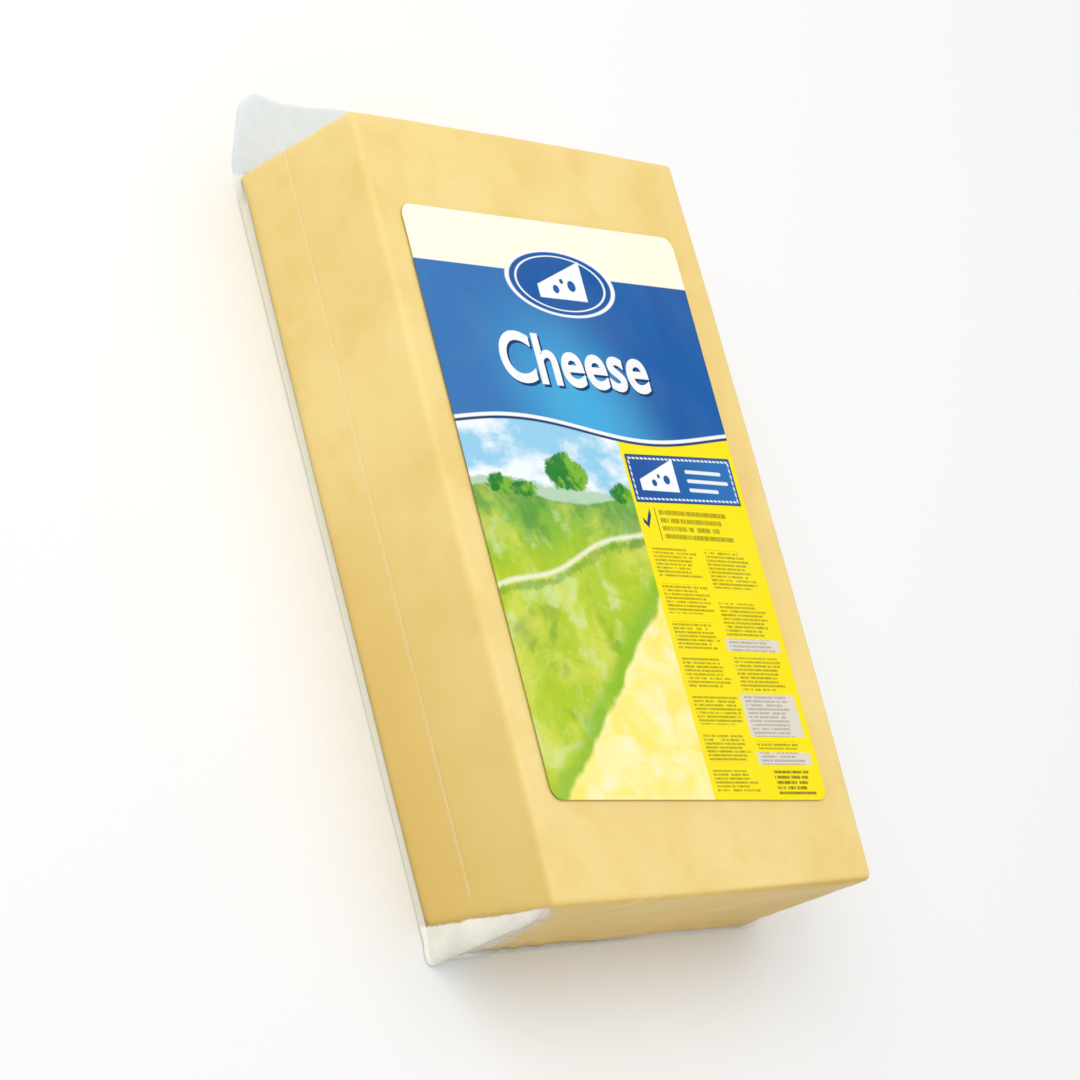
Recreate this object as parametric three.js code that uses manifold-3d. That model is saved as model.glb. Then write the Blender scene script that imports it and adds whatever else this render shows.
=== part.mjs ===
// A block of semi-hard yellow cheese, vacuum packed in a bag of clear film, with a printed label.
//
// Millimetres, +Z up. The pack lies on its back: X runs across the label, Y up the label and Z out
// of it. The origin is the middle of the whole pack's footprint, on the surface that it lies on. The
// shapes are drawn about the middle of the cheese, and the finished group is then moved along Y.
// The bag has a flat back panel and a front panel drawn over the cheese. The two are sealed together
// in a flat rim: a narrow seam down each side and across the foot, and a wide flap at the mouth, where
// the bag was filled. The bag's upright corners stay sharp down to the rim, while the two corners of
// the cheese at the foot are rounder towards its back, so that spare film bridges a hollow at each.
// The long sides lean outwards towards the back, as a soft block's do under its weight.

import * as THREE from "three";
import { mergeVertices } from "three/addons/utils/BufferGeometryUtils.js";
import Module from "manifold-3d";

const wasm = await Module();
wasm.setup();

// ---- The cheese ----
const CHEESE_WIDTH = 176; // at the front face
const CHEESE_LENGTH = 289;
const CHEESE_HEIGHT = 56.2;
const CORNER_RADIUS = 2.5; // upright corners, seen from above
const FOOT_BACK_CORNER_RADIUS = 13; // the foot's two corners at the back face
const EDGE_RADIUS = 2.5; // edges round the front face
const BACK_EDGE_RADIUS = 1.5; // edges round the back face, pressed flat by the cheese's weight
const SIDE_LEAN = 3.3; // how much further out each long side is at the back face
const SIDE_BOW = 0.5; // how far the long sides swell out in the middle
const RIGHT_BOW_FRONT = 2.2; // how far the right one swells out at the front face
const END_BOW = 0.6; // how far the short ends swell out

// ---- The bag ----
const FILM = 0.3; // thickness of each panel
const GAP = 0.3; // clearance between touching pieces
const SIDE_SEAM = 2.2; // width of the rim beyond the swell of each long side
const FOOT_SEAM = 1; // width of the rim beyond the swell of the foot end
const MOUTH_FLAP = 32; // length of the rim beyond the mouth end
const FLAP_TAPER = 14; // how much narrower the flap is on each side at its free edge
const RIM_CORNER_RADIUS = 8;

// ---- The label ----
const LABEL_WIDTH = 149;
const LABEL_LENGTH = 223;
const LABEL_SHIFT_X = -1.5; // from the middle of the cheese
const LABEL_SHIFT_Y = -1;
const LABEL_THICKNESS = 0.2;
const LABEL_CORNER_RADIUS = 5;
const LABEL_PIVOT = 35; // where the label keeps its height, from its middle line
const LABEL_SLANT = -0.0133; // rise along the label's width, halfway up it
const LABEL_FAN = 0.0455; // how much more it rises along its mouth edge than along its foot edge

// ---- Smoothness ----
const CORNER_STEPS = 7; // steps in each quarter turn of an outline
const SIDE_STEPS = 8; // steps along each bowed side of an outline
const EDGE_STEPS = 6; // steps in each quarter turn of a rounded edge

// ---- Worked out from the values above ----
const PANEL_BASE = FILM + GAP; // the cheese and the front panel's rim both lie on the back panel
const SKIN = GAP + FILM; // from the cheese's surface to the bag's outer surface
const CHEESE_TOP = PANEL_BASE + CHEESE_HEIGHT;
const BAG_TOP = CHEESE_TOP + SKIN;
const LABEL_BASE = BAG_TOP + GAP;
const RIM_HALF_WIDTH = CHEESE_WIDTH / 2 + SIDE_LEAN + SIDE_BOW + SKIN + SIDE_SEAM;
const RIM_FOOT = -CHEESE_LENGTH / 2 - END_BOW - SKIN - FOOT_SEAM;
const FLAP_ROOT = CHEESE_LENGTH / 2 + END_BOW + SKIN;
const RIM_MOUTH = FLAP_ROOT + MOUTH_FLAP;

// Points of a bowed, rounded rectangle, anticlockwise. The offset grows it evenly outwards, and a
// negative one shrinks it, which the corners allow for by never being sharper than the shrinkage.
function outlinePoints({ halfWidth, footCorner, rightBow, offset }) {
  const halfLength = CHEESE_LENGTH / 2;
  const mouthRadius = Math.max(CORNER_RADIUS, -offset);
  const footRadius = Math.max(footCorner, -offset);
  const swell = (share) => 1 - share * share; // 0 at a side's ends and 1 at its middle
  const quarter = (corner, sx, sy, radius) =>
    Array.from({ length: CORNER_STEPS + 1 }, (_, step) => {
      const angle = (corner + step / CORNER_STEPS) * (Math.PI / 2);
      const reach = radius + offset;
      return [
        sx * (halfWidth - radius) + reach * Math.cos(angle),
        sy * (halfLength - radius) + reach * Math.sin(angle),
      ];
    });
  const along = Array.from({ length: SIDE_STEPS - 1 }, (_, step) => (2 * (step + 1)) / SIDE_STEPS - 1);
  const side = (sx, t) => {
    const low = footRadius - halfLength;
    const high = halfLength - mouthRadius;
    const bow = sx > 0 ? rightBow : SIDE_BOW;
    return [sx * (halfWidth + offset + bow * swell(t)), low + ((sx * t + 1) / 2) * (high - low)];
  };
  const end = (sy, t, radius) => [
    -sy * t * (halfWidth - radius),
    sy * (halfLength + offset + END_BOW * swell(t)),
  ];
  return [
    ...along.map((t) => side(1, t)),
    ...quarter(0, 1, 1, mouthRadius),
    ...along.map((t) => end(1, t, mouthRadius)),
    ...quarter(1, -1, 1, mouthRadius),
    ...along.map((t) => side(-1, t)),
    ...quarter(2, -1, -1, footRadius),
    ...along.map((t) => end(-1, t, footRadius)),
    ...quarter(3, 1, -1, footRadius),
  ];
}

// A closed geometry through a stack of outlines, each with the same number of points, lowest first.
function loft(rings) {
  const size = rings[0].points.length;
  const positions = [];
  for (const { points, z } of rings) {
    for (const [x, y] of points) positions.push(x, y, z);
  }
  const bottomCentre = rings.length * size;
  const topCentre = bottomCentre + 1;
  const topRing = (rings.length - 1) * size;
  positions.push(0, 0, rings[0].z);
  positions.push(0, 0, rings[rings.length - 1].z);
  const index = [];
  for (let i = 0; i < size; i++) {
    const next = (i + 1) % size;
    index.push(bottomCentre, next, i);
    index.push(topCentre, topRing + i, topRing + next);
    for (let ring = 0; ring < rings.length - 1; ring++) {
      const low = ring * size;
      const high = low + size;
      index.push(low + i, low + next, high + next);
      index.push(low + i, high + next, high + i);
    }
  }
  const geometry = new THREE.BufferGeometry();
  geometry.setAttribute("position", new THREE.Float32BufferAttribute(positions, 3));
  geometry.setIndex(index);
  geometry.computeVertexNormals();
  return geometry;
}

// A block as much bigger than the cheese as the offset says, with its front edges rounded. The base
// is square to the sides unless the back edges are rounded too.
function blockGeometry({ offset, base, footBackCorner, roundBack = false }) {
  const top = CHEESE_TOP + offset;
  const edge = EDGE_RADIUS + offset;
  const ringAt = (inset, z) => {
    const share = Math.min(Math.max((z - PANEL_BASE) / CHEESE_HEIGHT, 0), 1);
    const halfWidth = CHEESE_WIDTH / 2 + SIDE_LEAN * (1 - share);
    const footCorner = footBackCorner + (CORNER_RADIUS - footBackCorner) * share;
    const rightBow = SIDE_BOW + (RIGHT_BOW_FRONT - SIDE_BOW) * share;
    return { points: outlinePoints({ halfWidth, footCorner, rightBow, offset: offset - inset }), z };
  };
  const rings = [];
  if (roundBack) {
    for (let step = 0; step <= EDGE_STEPS; step++) {
      const angle = (step / EDGE_STEPS) * (Math.PI / 2);
      const inset = BACK_EDGE_RADIUS * (1 - Math.sin(angle));
      rings.push(ringAt(inset, base + BACK_EDGE_RADIUS * (1 - Math.cos(angle))));
    }
  } else {
    rings.push(ringAt(0, base));
  }
  for (let step = 0; step <= EDGE_STEPS; step++) {
    const angle = (step / EDGE_STEPS) * (Math.PI / 2);
    rings.push(ringAt(edge * (1 - Math.cos(angle)), top - edge * (1 - Math.sin(angle))));
  }
  return loft(rings);
}

// The outline that both panels share: a rectangle with a tapered flap and rounded corners.
function rimShape() {
  const corners = [
    new THREE.Vector2(RIM_HALF_WIDTH, RIM_FOOT),
    new THREE.Vector2(RIM_HALF_WIDTH, FLAP_ROOT),
    new THREE.Vector2(RIM_HALF_WIDTH - FLAP_TAPER, RIM_MOUTH),
    new THREE.Vector2(-RIM_HALF_WIDTH + FLAP_TAPER, RIM_MOUTH),
    new THREE.Vector2(-RIM_HALF_WIDTH, FLAP_ROOT),
    new THREE.Vector2(-RIM_HALF_WIDTH, RIM_FOOT),
  ];
  const shape = new THREE.Shape();
  corners.forEach((corner, i) => {
    const before = corners[(i + corners.length - 1) % corners.length];
    const after = corners[(i + 1) % corners.length];
    const into = corner.clone().add(before.clone().sub(corner).setLength(RIM_CORNER_RADIUS));
    const away = corner.clone().add(after.clone().sub(corner).setLength(RIM_CORNER_RADIUS));
    if (i === 0) shape.moveTo(into.x, into.y);
    else shape.lineTo(into.x, into.y);
    shape.quadraticCurveTo(corner.x, corner.y, away.x, away.y);
  });
  shape.closePath();
  return shape;
}

function rimGeometry(base) {
  const options = { depth: FILM, bevelEnabled: false, curveSegments: CORNER_STEPS };
  return new THREE.ExtrudeGeometry(rimShape(), options).translate(0, 0, base);
}

// A closed geometry as a solid that can be joined and cut.
function toSolid(geometry) {
  const bare = new THREE.BufferGeometry();
  bare.setAttribute("position", geometry.getAttribute("position"));
  bare.setIndex(geometry.getIndex());
  const merged = mergeVertices(bare);
  return new wasm.Manifold(
    new wasm.Mesh({
      numProp: 3,
      vertProperties: new Float32Array(merged.getAttribute("position").array),
      triVerts: new Uint32Array(merged.getIndex().array),
    }),
  );
}

function toGeometry(solid) {
  const { vertProperties, triVerts } = solid.getMesh();
  const geometry = new THREE.BufferGeometry();
  geometry.setAttribute("position", new THREE.BufferAttribute(vertProperties, 3));
  geometry.setIndex(new THREE.BufferAttribute(triVerts, 1));
  geometry.computeVertexNormals();
  return geometry;
}

function cheeseGeometry() {
  return blockGeometry({
    offset: 0,
    base: PANEL_BASE,
    footBackCorner: FOOT_BACK_CORNER_RADIUS,
    roundBack: true,
  });
}

// The front panel: a skin over the cheese, open at the back, with the rim round its foot.
function frontPanelGeometry() {
  const outside = blockGeometry({
    offset: SKIN,
    base: PANEL_BASE + FILM / 2,
    footBackCorner: CORNER_RADIUS,
  });
  const cavity = blockGeometry({ offset: GAP, base: 0, footBackCorner: CORNER_RADIUS });
  const panel = toSolid(outside).add(toSolid(rimGeometry(PANEL_BASE)));
  return toGeometry(panel.subtract(toSolid(cavity)));
}

function labelGeometry() {
  const right = LABEL_WIDTH / 2;
  const mouth = LABEL_LENGTH / 2;
  const radius = LABEL_CORNER_RADIUS;
  const shape = new THREE.Shape();
  shape.moveTo(right, radius - mouth);
  shape.absarc(right - radius, mouth - radius, radius, 0, Math.PI / 2, false);
  shape.absarc(radius - right, mouth - radius, radius, Math.PI / 2, Math.PI, false);
  shape.absarc(radius - right, radius - mouth, radius, Math.PI, 1.5 * Math.PI, false);
  shape.absarc(right - radius, radius - mouth, radius, 1.5 * Math.PI, 2 * Math.PI, false);
  const options = { depth: LABEL_THICKNESS, bevelEnabled: false, curveSegments: CORNER_STEPS };
  const geometry = new THREE.ExtrudeGeometry(shape, options);
  // The label lies slightly askew, more so towards the foot.
  const position = geometry.attributes.position;
  for (let i = 0; i < position.count; i++) {
    const rise = LABEL_SLANT + (LABEL_FAN * position.getY(i)) / LABEL_LENGTH;
    position.setY(i, position.getY(i) + (position.getX(i) - LABEL_PIVOT) * rise);
  }
  geometry.computeVertexNormals();
  return geometry.translate(LABEL_SHIFT_X, LABEL_SHIFT_Y, LABEL_BASE);
}

const cheeseMaterial = new THREE.MeshStandardMaterial({ color: 0xf3d68a, roughness: 0.45, metalness: 0 });
const filmMaterial = new THREE.MeshStandardMaterial({
  color: 0xebf0f3,
  roughness: 0.12,
  metalness: 0,
  transparent: true,
  opacity: 0.3,
});
const labelMaterial = new THREE.MeshStandardMaterial({ color: 0x2a6db5, roughness: 0.35, metalness: 0 });

function piece(name, geometry, material) {
  const mesh = new THREE.Mesh(geometry, material);
  mesh.name = name;
  return mesh;
}

const pack = new THREE.Group();
pack.add(
  piece("cheese_block", cheeseGeometry(), cheeseMaterial),
  piece("bag_back_panel", rimGeometry(0), filmMaterial.clone()),
  piece("bag_front_panel", frontPanelGeometry(), filmMaterial.clone()),
  piece("label", labelGeometry(), labelMaterial),
);

pack.position.y = -(RIM_FOOT + RIM_MOUTH) / 2;

export default pack;
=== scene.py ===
"""A loaf of semi-hard yellow cheese in a clear vacuum bag, lying on its back with its label up.

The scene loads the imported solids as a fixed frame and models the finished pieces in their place: the
waxy loaf, the front film drawn over it with its creases, corner webs and sealed rim, the flat back
film, and the printed label. Lengths are in metres unless a name ends in MM.
"""

import logging
import math
from dataclasses import dataclass, field
from enum import Enum
from typing import Callable, Iterable, Optional, Sequence, Union

import bmesh
import bpy
from mathutils import Matrix, Vector, noise


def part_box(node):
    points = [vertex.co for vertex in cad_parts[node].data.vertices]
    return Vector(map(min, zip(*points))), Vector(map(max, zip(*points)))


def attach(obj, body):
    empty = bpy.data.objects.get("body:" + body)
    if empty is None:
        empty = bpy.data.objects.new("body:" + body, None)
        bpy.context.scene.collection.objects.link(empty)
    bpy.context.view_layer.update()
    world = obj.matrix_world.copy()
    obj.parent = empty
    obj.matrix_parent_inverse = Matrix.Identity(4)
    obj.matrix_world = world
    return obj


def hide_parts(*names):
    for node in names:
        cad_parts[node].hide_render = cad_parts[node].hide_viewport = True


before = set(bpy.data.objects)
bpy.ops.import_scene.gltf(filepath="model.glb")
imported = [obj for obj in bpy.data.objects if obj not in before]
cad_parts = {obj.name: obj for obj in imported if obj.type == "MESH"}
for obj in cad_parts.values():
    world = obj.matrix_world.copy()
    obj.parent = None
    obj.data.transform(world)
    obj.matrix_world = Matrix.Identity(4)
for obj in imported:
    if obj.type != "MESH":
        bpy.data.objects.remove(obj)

log = logging.getLogger("cheese_pack")

MM = 0.001
Colour = tuple[float, float, float, float]
Socket = bpy.types.NodeSocket
Piece = bpy.types.Object
Number = Union[float, Socket]


# ---------------------------------------------------------------- colours


def srgb(red: int, green: int, blue: int) -> Colour:
    """Turn a display colour into the linear colour that shaders work in.

    Args:
        red: Display red, 0 to 255.
        green: Display green, 0 to 255.
        blue: Display blue, 0 to 255.

    Returns:
        The linear colour with full alpha.
    """

    def linear(level: int) -> float:
        """Return one channel in linear light."""
        share = level / 255.0
        return share / 12.92 if share <= 0.04045 else ((share + 0.055) / 1.055) ** 2.4

    return (linear(red), linear(green), linear(blue), 1.0)


class Ink(Enum):
    """The printing inks and tints of the label."""

    CREAM = srgb(254, 251, 230)
    DEEP_BLUE = srgb(8, 88, 164)
    EDGE_BLUE = srgb(56, 118, 184)
    BADGE_DARK = srgb(20, 82, 158)
    BADGE_LIGHT = srgb(34, 112, 184)
    MID_BLUE = srgb(30, 112, 182)
    GLOW_BLUE = srgb(64, 172, 224)
    NAVY = srgb(14, 58, 112)
    WHITE = srgb(250, 252, 253)
    SKY = srgb(150, 208, 238)
    CLOUD = srgb(243, 250, 253)
    LEAF_DARK = srgb(28, 128, 42)
    LEAF = srgb(124, 184, 48)
    MEADOW = srgb(178, 206, 36)
    MEADOW_LIGHT = srgb(214, 222, 84)
    MEADOW_PALE = srgb(222, 238, 168)
    MEADOW_FAR = srgb(92, 166, 96)
    HILL = srgb(150, 198, 140)
    TRACK = srgb(250, 248, 220)
    FIELD_EDGE = srgb(122, 184, 34)
    FIELD = srgb(255, 246, 168)
    FIELD_WARM = srgb(255, 236, 110)
    YELLOW = srgb(255, 238, 0)
    YELLOW_DEEP = srgb(252, 229, 0)
    TEXT = srgb(104, 92, 12)
    GREY = srgb(228, 220, 204)
    GREY_TEXT = srgb(120, 112, 100)
    PAPER_SHADE = (0.6, 0.6, 0.5, 1.0)


# ---------------------------------------------------------------- hand modelling


def deselect_all() -> None:
    """Leave edit mode and deselect every object."""
    if bpy.context.object is not None and bpy.context.object.mode != "OBJECT":
        bpy.ops.object.mode_set(mode="OBJECT")
    bpy.ops.object.select_all(action="DESELECT")


def make_active(piece: Piece) -> None:
    """Select one object alone and make it the active one."""
    deselect_all()
    piece.select_set(True)
    bpy.context.view_layer.objects.active = piece


def apply_place(piece: Piece) -> None:
    """Put an object's place, turn and scale into its mesh."""
    make_active(piece)
    bpy.ops.object.transform_apply(location=True, rotation=True, scale=True)


def start_block(name: str, low: Vector, high: Vector) -> Piece:
    """Add a cube at its size and place as the start of a piece.

    Args:
        name: Name of the new piece.
        low: Lowest corner.
        high: Highest corner.

    Returns:
        The new object, with its place in its mesh.
    """
    deselect_all()
    bpy.ops.mesh.primitive_cube_add(size=1.0, location=(low + high) / 2.0, scale=high - low)
    piece = bpy.context.object
    piece.name = name
    piece.data.name = name
    apply_place(piece)
    return piece


def pick(piece: Piece, kind: str, test: Callable[[object], bool]) -> int:
    """Select the edges or faces that pass a test, in edit mode.

    Args:
        piece: Object in edit mode.
        kind: "EDGE" or "FACE".
        test: Says whether an element is wanted.

    Returns:
        How many elements were selected.
    """
    bpy.ops.mesh.select_mode(type=kind)
    bpy.ops.mesh.select_all(action="DESELECT")
    cage = bmesh.from_edit_mesh(piece.data)
    elements: Iterable[object] = cage.edges if kind == "EDGE" else cage.faces
    wanted = [element for element in elements if test(element)]
    for element in wanted:
        element.select_set(True)
    cage.select_flush_mode()
    bmesh.update_edit_mesh(piece.data)
    return len(wanted)


def slice_across(axis: int, places: Sequence[float]) -> None:
    """Cut the mesh in edit mode by planes square to one axis, keeping both sides.

    Args:
        axis: 0, 1 or 2 for X, Y or Z.
        places: Where the planes stand along that axis.
    """
    normal = [0.0, 0.0, 0.0]
    normal[axis] = 1.0
    for place in places:
        point = [0.0, 0.0, 0.0]
        point[axis] = place
        bpy.ops.mesh.select_all(action="SELECT")
        bpy.ops.mesh.bisect(plane_co=point, plane_no=normal)


def spaced(low: float, high: float, pitch: float) -> list[float]:
    """Return evenly spaced places between two ends, without the ends themselves."""
    count = max(2, round((high - low) / pitch))
    return [low + (high - low) * step / count for step in range(1, count)]


def move_points(piece: Piece, shaper: Callable[[Vector, Vector], Vector]) -> None:
    """Move every vertex of a finished grid one by one, as a sculptor does.

    Args:
        piece: Object in object mode.
        shaper: Gives a vertex's new place from its place and its normal.
    """
    mesh = piece.data
    moved = [shaper(vertex.co.copy(), vertex.normal.copy()) for vertex in mesh.vertices]
    for vertex, place in zip(mesh.vertices, moved):
        vertex.co = place
    mesh.update()


def smooth(piece: Piece, degrees: float) -> None:
    """Shade a piece smooth, except across edges sharper than an angle."""
    make_active(piece)
    bpy.ops.object.shade_smooth_by_angle(angle=math.radians(degrees))


def smoothstep(low: float, high: float, value: float) -> float:
    """Return 0 below low, 1 above high and a smooth rise between."""
    share = min(max((value - low) / (high - low), 0.0), 1.0)
    return share * share * (3.0 - 2.0 * share)


def finish_piece(piece: Piece, node: Optional[str] = None) -> None:
    """Hand a piece over to the frame.

    Args:
        piece: The finished piece.
        node: Solid that it stands for, if any.
    """
    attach(piece, "root")
    if node is not None:
        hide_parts(node)
    log.info("%s: %d faces", piece.name, len(piece.data.polygons))


# ---------------------------------------------------------------- node sketching


class Sketch:
    """A node tree that is wired up one calculation at a time."""

    def __init__(self, tree: bpy.types.NodeTree) -> None:
        """Start on an emptied tree."""
        self.tree = tree

    def node(self, kind: str, **settings: object) -> bpy.types.Node:
        """Add a node and set its properties."""
        made = self.tree.nodes.new(kind)
        for name, value in settings.items():
            setattr(made, name, value)
        return made

    def feed(self, socket: Socket, value: object) -> None:
        """Link a socket to another, or set its plain value."""
        if isinstance(value, Socket):
            self.tree.links.new(value, socket)
        else:
            socket.default_value = value

    def math(self, operation: str, *values: Number, clamp: bool = False) -> Socket:
        """Work out one number.

        Args:
            operation: A Math node's operation.
            values: Its inputs in order.
            clamp: Whether to hold the result between 0 and 1.

        Returns:
            The result's socket.
        """
        made = self.node("ShaderNodeMath", operation=operation, use_clamp=clamp)
        for socket, value in zip(made.inputs, values):
            self.feed(socket, value)
        return made.outputs[0]

    def plus(self, first: Number, second: Number, clamp: bool = False) -> Socket:
        """Add two numbers."""
        return self.math("ADD", first, second, clamp=clamp)

    def minus(self, first: Number, second: Number, clamp: bool = False) -> Socket:
        """Take the second number from the first."""
        return self.math("SUBTRACT", first, second, clamp=clamp)

    def absolute(self, value: Number) -> Socket:
        """Drop a number's sign."""
        return self.math("ABSOLUTE", value)

    def mix(self, mask: Number, under: object, over: object) -> Socket:
        """Lay one colour over another through a mask."""
        made = self.node("ShaderNodeMix", data_type="RGBA")
        self.feed(made.inputs[0], mask)
        self.feed(made.inputs[6], under)
        self.feed(made.inputs[7], over)
        return made.outputs[2]

    def point(self, x: Number, y: Number, z: Number = 0.0) -> Socket:
        """Join three numbers into a point."""
        made = self.node("ShaderNodeCombineXYZ")
        for socket, value in zip(made.inputs, (x, y, z)):
            self.feed(socket, value)
        return made.outputs[0]

    def noise(self, at: Socket, scale: float, detail: float = 2.0,
              roughness: float = 0.5, twist: float = 0.0) -> Socket:
        """Return soft noise at a point, about 0.3 to 0.7 with 0.5 in the middle."""
        made = self.node("ShaderNodeTexNoise")
        self.feed(made.inputs["Vector"], at)
        self.feed(made.inputs["Scale"], scale)
        self.feed(made.inputs["Detail"], detail)
        self.feed(made.inputs["Roughness"], roughness)
        self.feed(made.inputs["Distortion"], twist)
        return made.outputs[0]

    def rise(self, value: Number, low: float, high: float) -> Socket:
        """Return 0 below low, 1 above high and a smooth rise between."""
        made = self.node("ShaderNodeMapRange", interpolation_type="SMOOTHSTEP")
        for socket, wanted in zip(made.inputs, (value, low, high, 0.0, 1.0)):
            self.feed(socket, wanted)
        return made.outputs[0]

    def inside(self, distance: Number, soft: float = 0.25) -> Socket:
        """Return 1 where a distance is negative and 0 where it is positive."""
        return self.rise(self.math("MULTIPLY", distance, -1.0), -soft, soft)

    def between(self, value: Number, low: float, high: float, soft: float = 0.2) -> Socket:
        """Return 1 where a value lies between two others and 0 elsewhere."""
        below = self.inside(self.minus(value, high), soft)
        above = self.inside(self.minus(low, value), soft)
        return self.times(below, above)

    def times(self, *values: Number) -> Socket:
        """Multiply several numbers."""
        total = values[0]
        for value in values[1:]:
            total = self.math("MULTIPLY", total, value)
        return total

    def bump(self, height: Socket, distance: float, strength: float) -> Socket:
        """Turn a height into a surface normal."""
        made = self.node("ShaderNodeBump")
        self.feed(made.inputs["Strength"], strength)
        self.feed(made.inputs["Distance"], distance)
        self.feed(made.inputs["Height"], height)
        return made.outputs[0]

    def parts(self, place: Socket) -> tuple[Socket, ...]:
        """Return a point's X, Y and Z."""
        split = self.node("ShaderNodeSeparateXYZ")
        self.feed(split.inputs[0], place)
        return tuple(split.outputs)

    def place_mm(self, centre: Vector) -> tuple[Socket, ...]:
        """Return the point in millimetres from a centre, then its X, Y and Z."""
        coordinates = self.node("ShaderNodeTexCoord")
        mapping = self.node("ShaderNodeMapping", vector_type="POINT")
        self.feed(mapping.inputs["Vector"], coordinates.outputs["Object"])
        mapping.inputs["Scale"].default_value = (1000.0, 1000.0, 1000.0)
        mapping.inputs["Location"].default_value = tuple(-1000.0 * part for part in centre)
        return (mapping.outputs[0], *self.parts(mapping.outputs[0]))


def mottle_group() -> bpy.types.NodeTree:
    """Build the node group for gentle unevenness, shared by the cheese, the film and the label.

    Returns:
        The group. It takes Place, in millimetres, Broad and Fine, the two scales, and puts out Tone,
        a soft patchiness from 0 to 1, and Height, a fine crinkle from 0 to 1.
    """
    found = bpy.data.node_groups.get("gentle_mottle")
    if found is not None:
        return found
    group = bpy.data.node_groups.new("gentle_mottle", "ShaderNodeTree")
    face = group.interface
    face.new_socket("Place", in_out="INPUT", socket_type="NodeSocketVector")
    face.new_socket("Broad", in_out="INPUT", socket_type="NodeSocketFloat")
    face.new_socket("Fine", in_out="INPUT", socket_type="NodeSocketFloat")
    face.new_socket("Tone", in_out="OUTPUT", socket_type="NodeSocketFloat")
    face.new_socket("Height", in_out="OUTPUT", socket_type="NodeSocketFloat")
    sketch = Sketch(group)
    given = sketch.node("NodeGroupInput")
    result = sketch.node("NodeGroupOutput")
    broad = sketch.noise(given.outputs["Place"], given.outputs["Broad"], 3.0, 0.55, 0.4)
    fine = sketch.noise(given.outputs["Place"], given.outputs["Fine"], 4.0, 0.6, 0.8)
    sketch.feed(result.inputs["Tone"], sketch.rise(broad, 0.3, 0.7))
    crinkle = sketch.absolute(sketch.minus(fine, 0.5))
    sketch.feed(result.inputs["Height"], sketch.plus(sketch.times(broad, 0.5), crinkle))
    return group


def new_material(name: str) -> tuple[bpy.types.Material, Sketch, bpy.types.Node]:
    """Start a material with one Principled shader.

    Args:
        name: The material's name.

    Returns:
        The material, its sketch and its shader.
    """
    material = bpy.data.materials.new(name)
    material.use_nodes = True
    material.node_tree.nodes.clear()
    sketch = Sketch(material.node_tree)
    shader = sketch.node("ShaderNodeBsdfPrincipled")
    output = sketch.node("ShaderNodeOutputMaterial")
    sketch.feed(output.inputs["Surface"], shader.outputs[0])
    return material, sketch, shader


def add_mottle(sketch: Sketch, place: Socket, broad: float, fine: float) -> bpy.types.Node:
    """Place the shared unevenness in a material with its own scales."""
    made = sketch.node("ShaderNodeGroup")
    made.node_tree = mottle_group()
    sketch.feed(made.inputs["Place"], place)
    made.inputs["Broad"].default_value = broad
    made.inputs["Fine"].default_value = fine
    return made


# ---------------------------------------------------------------- sizes shared by all pieces


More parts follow.
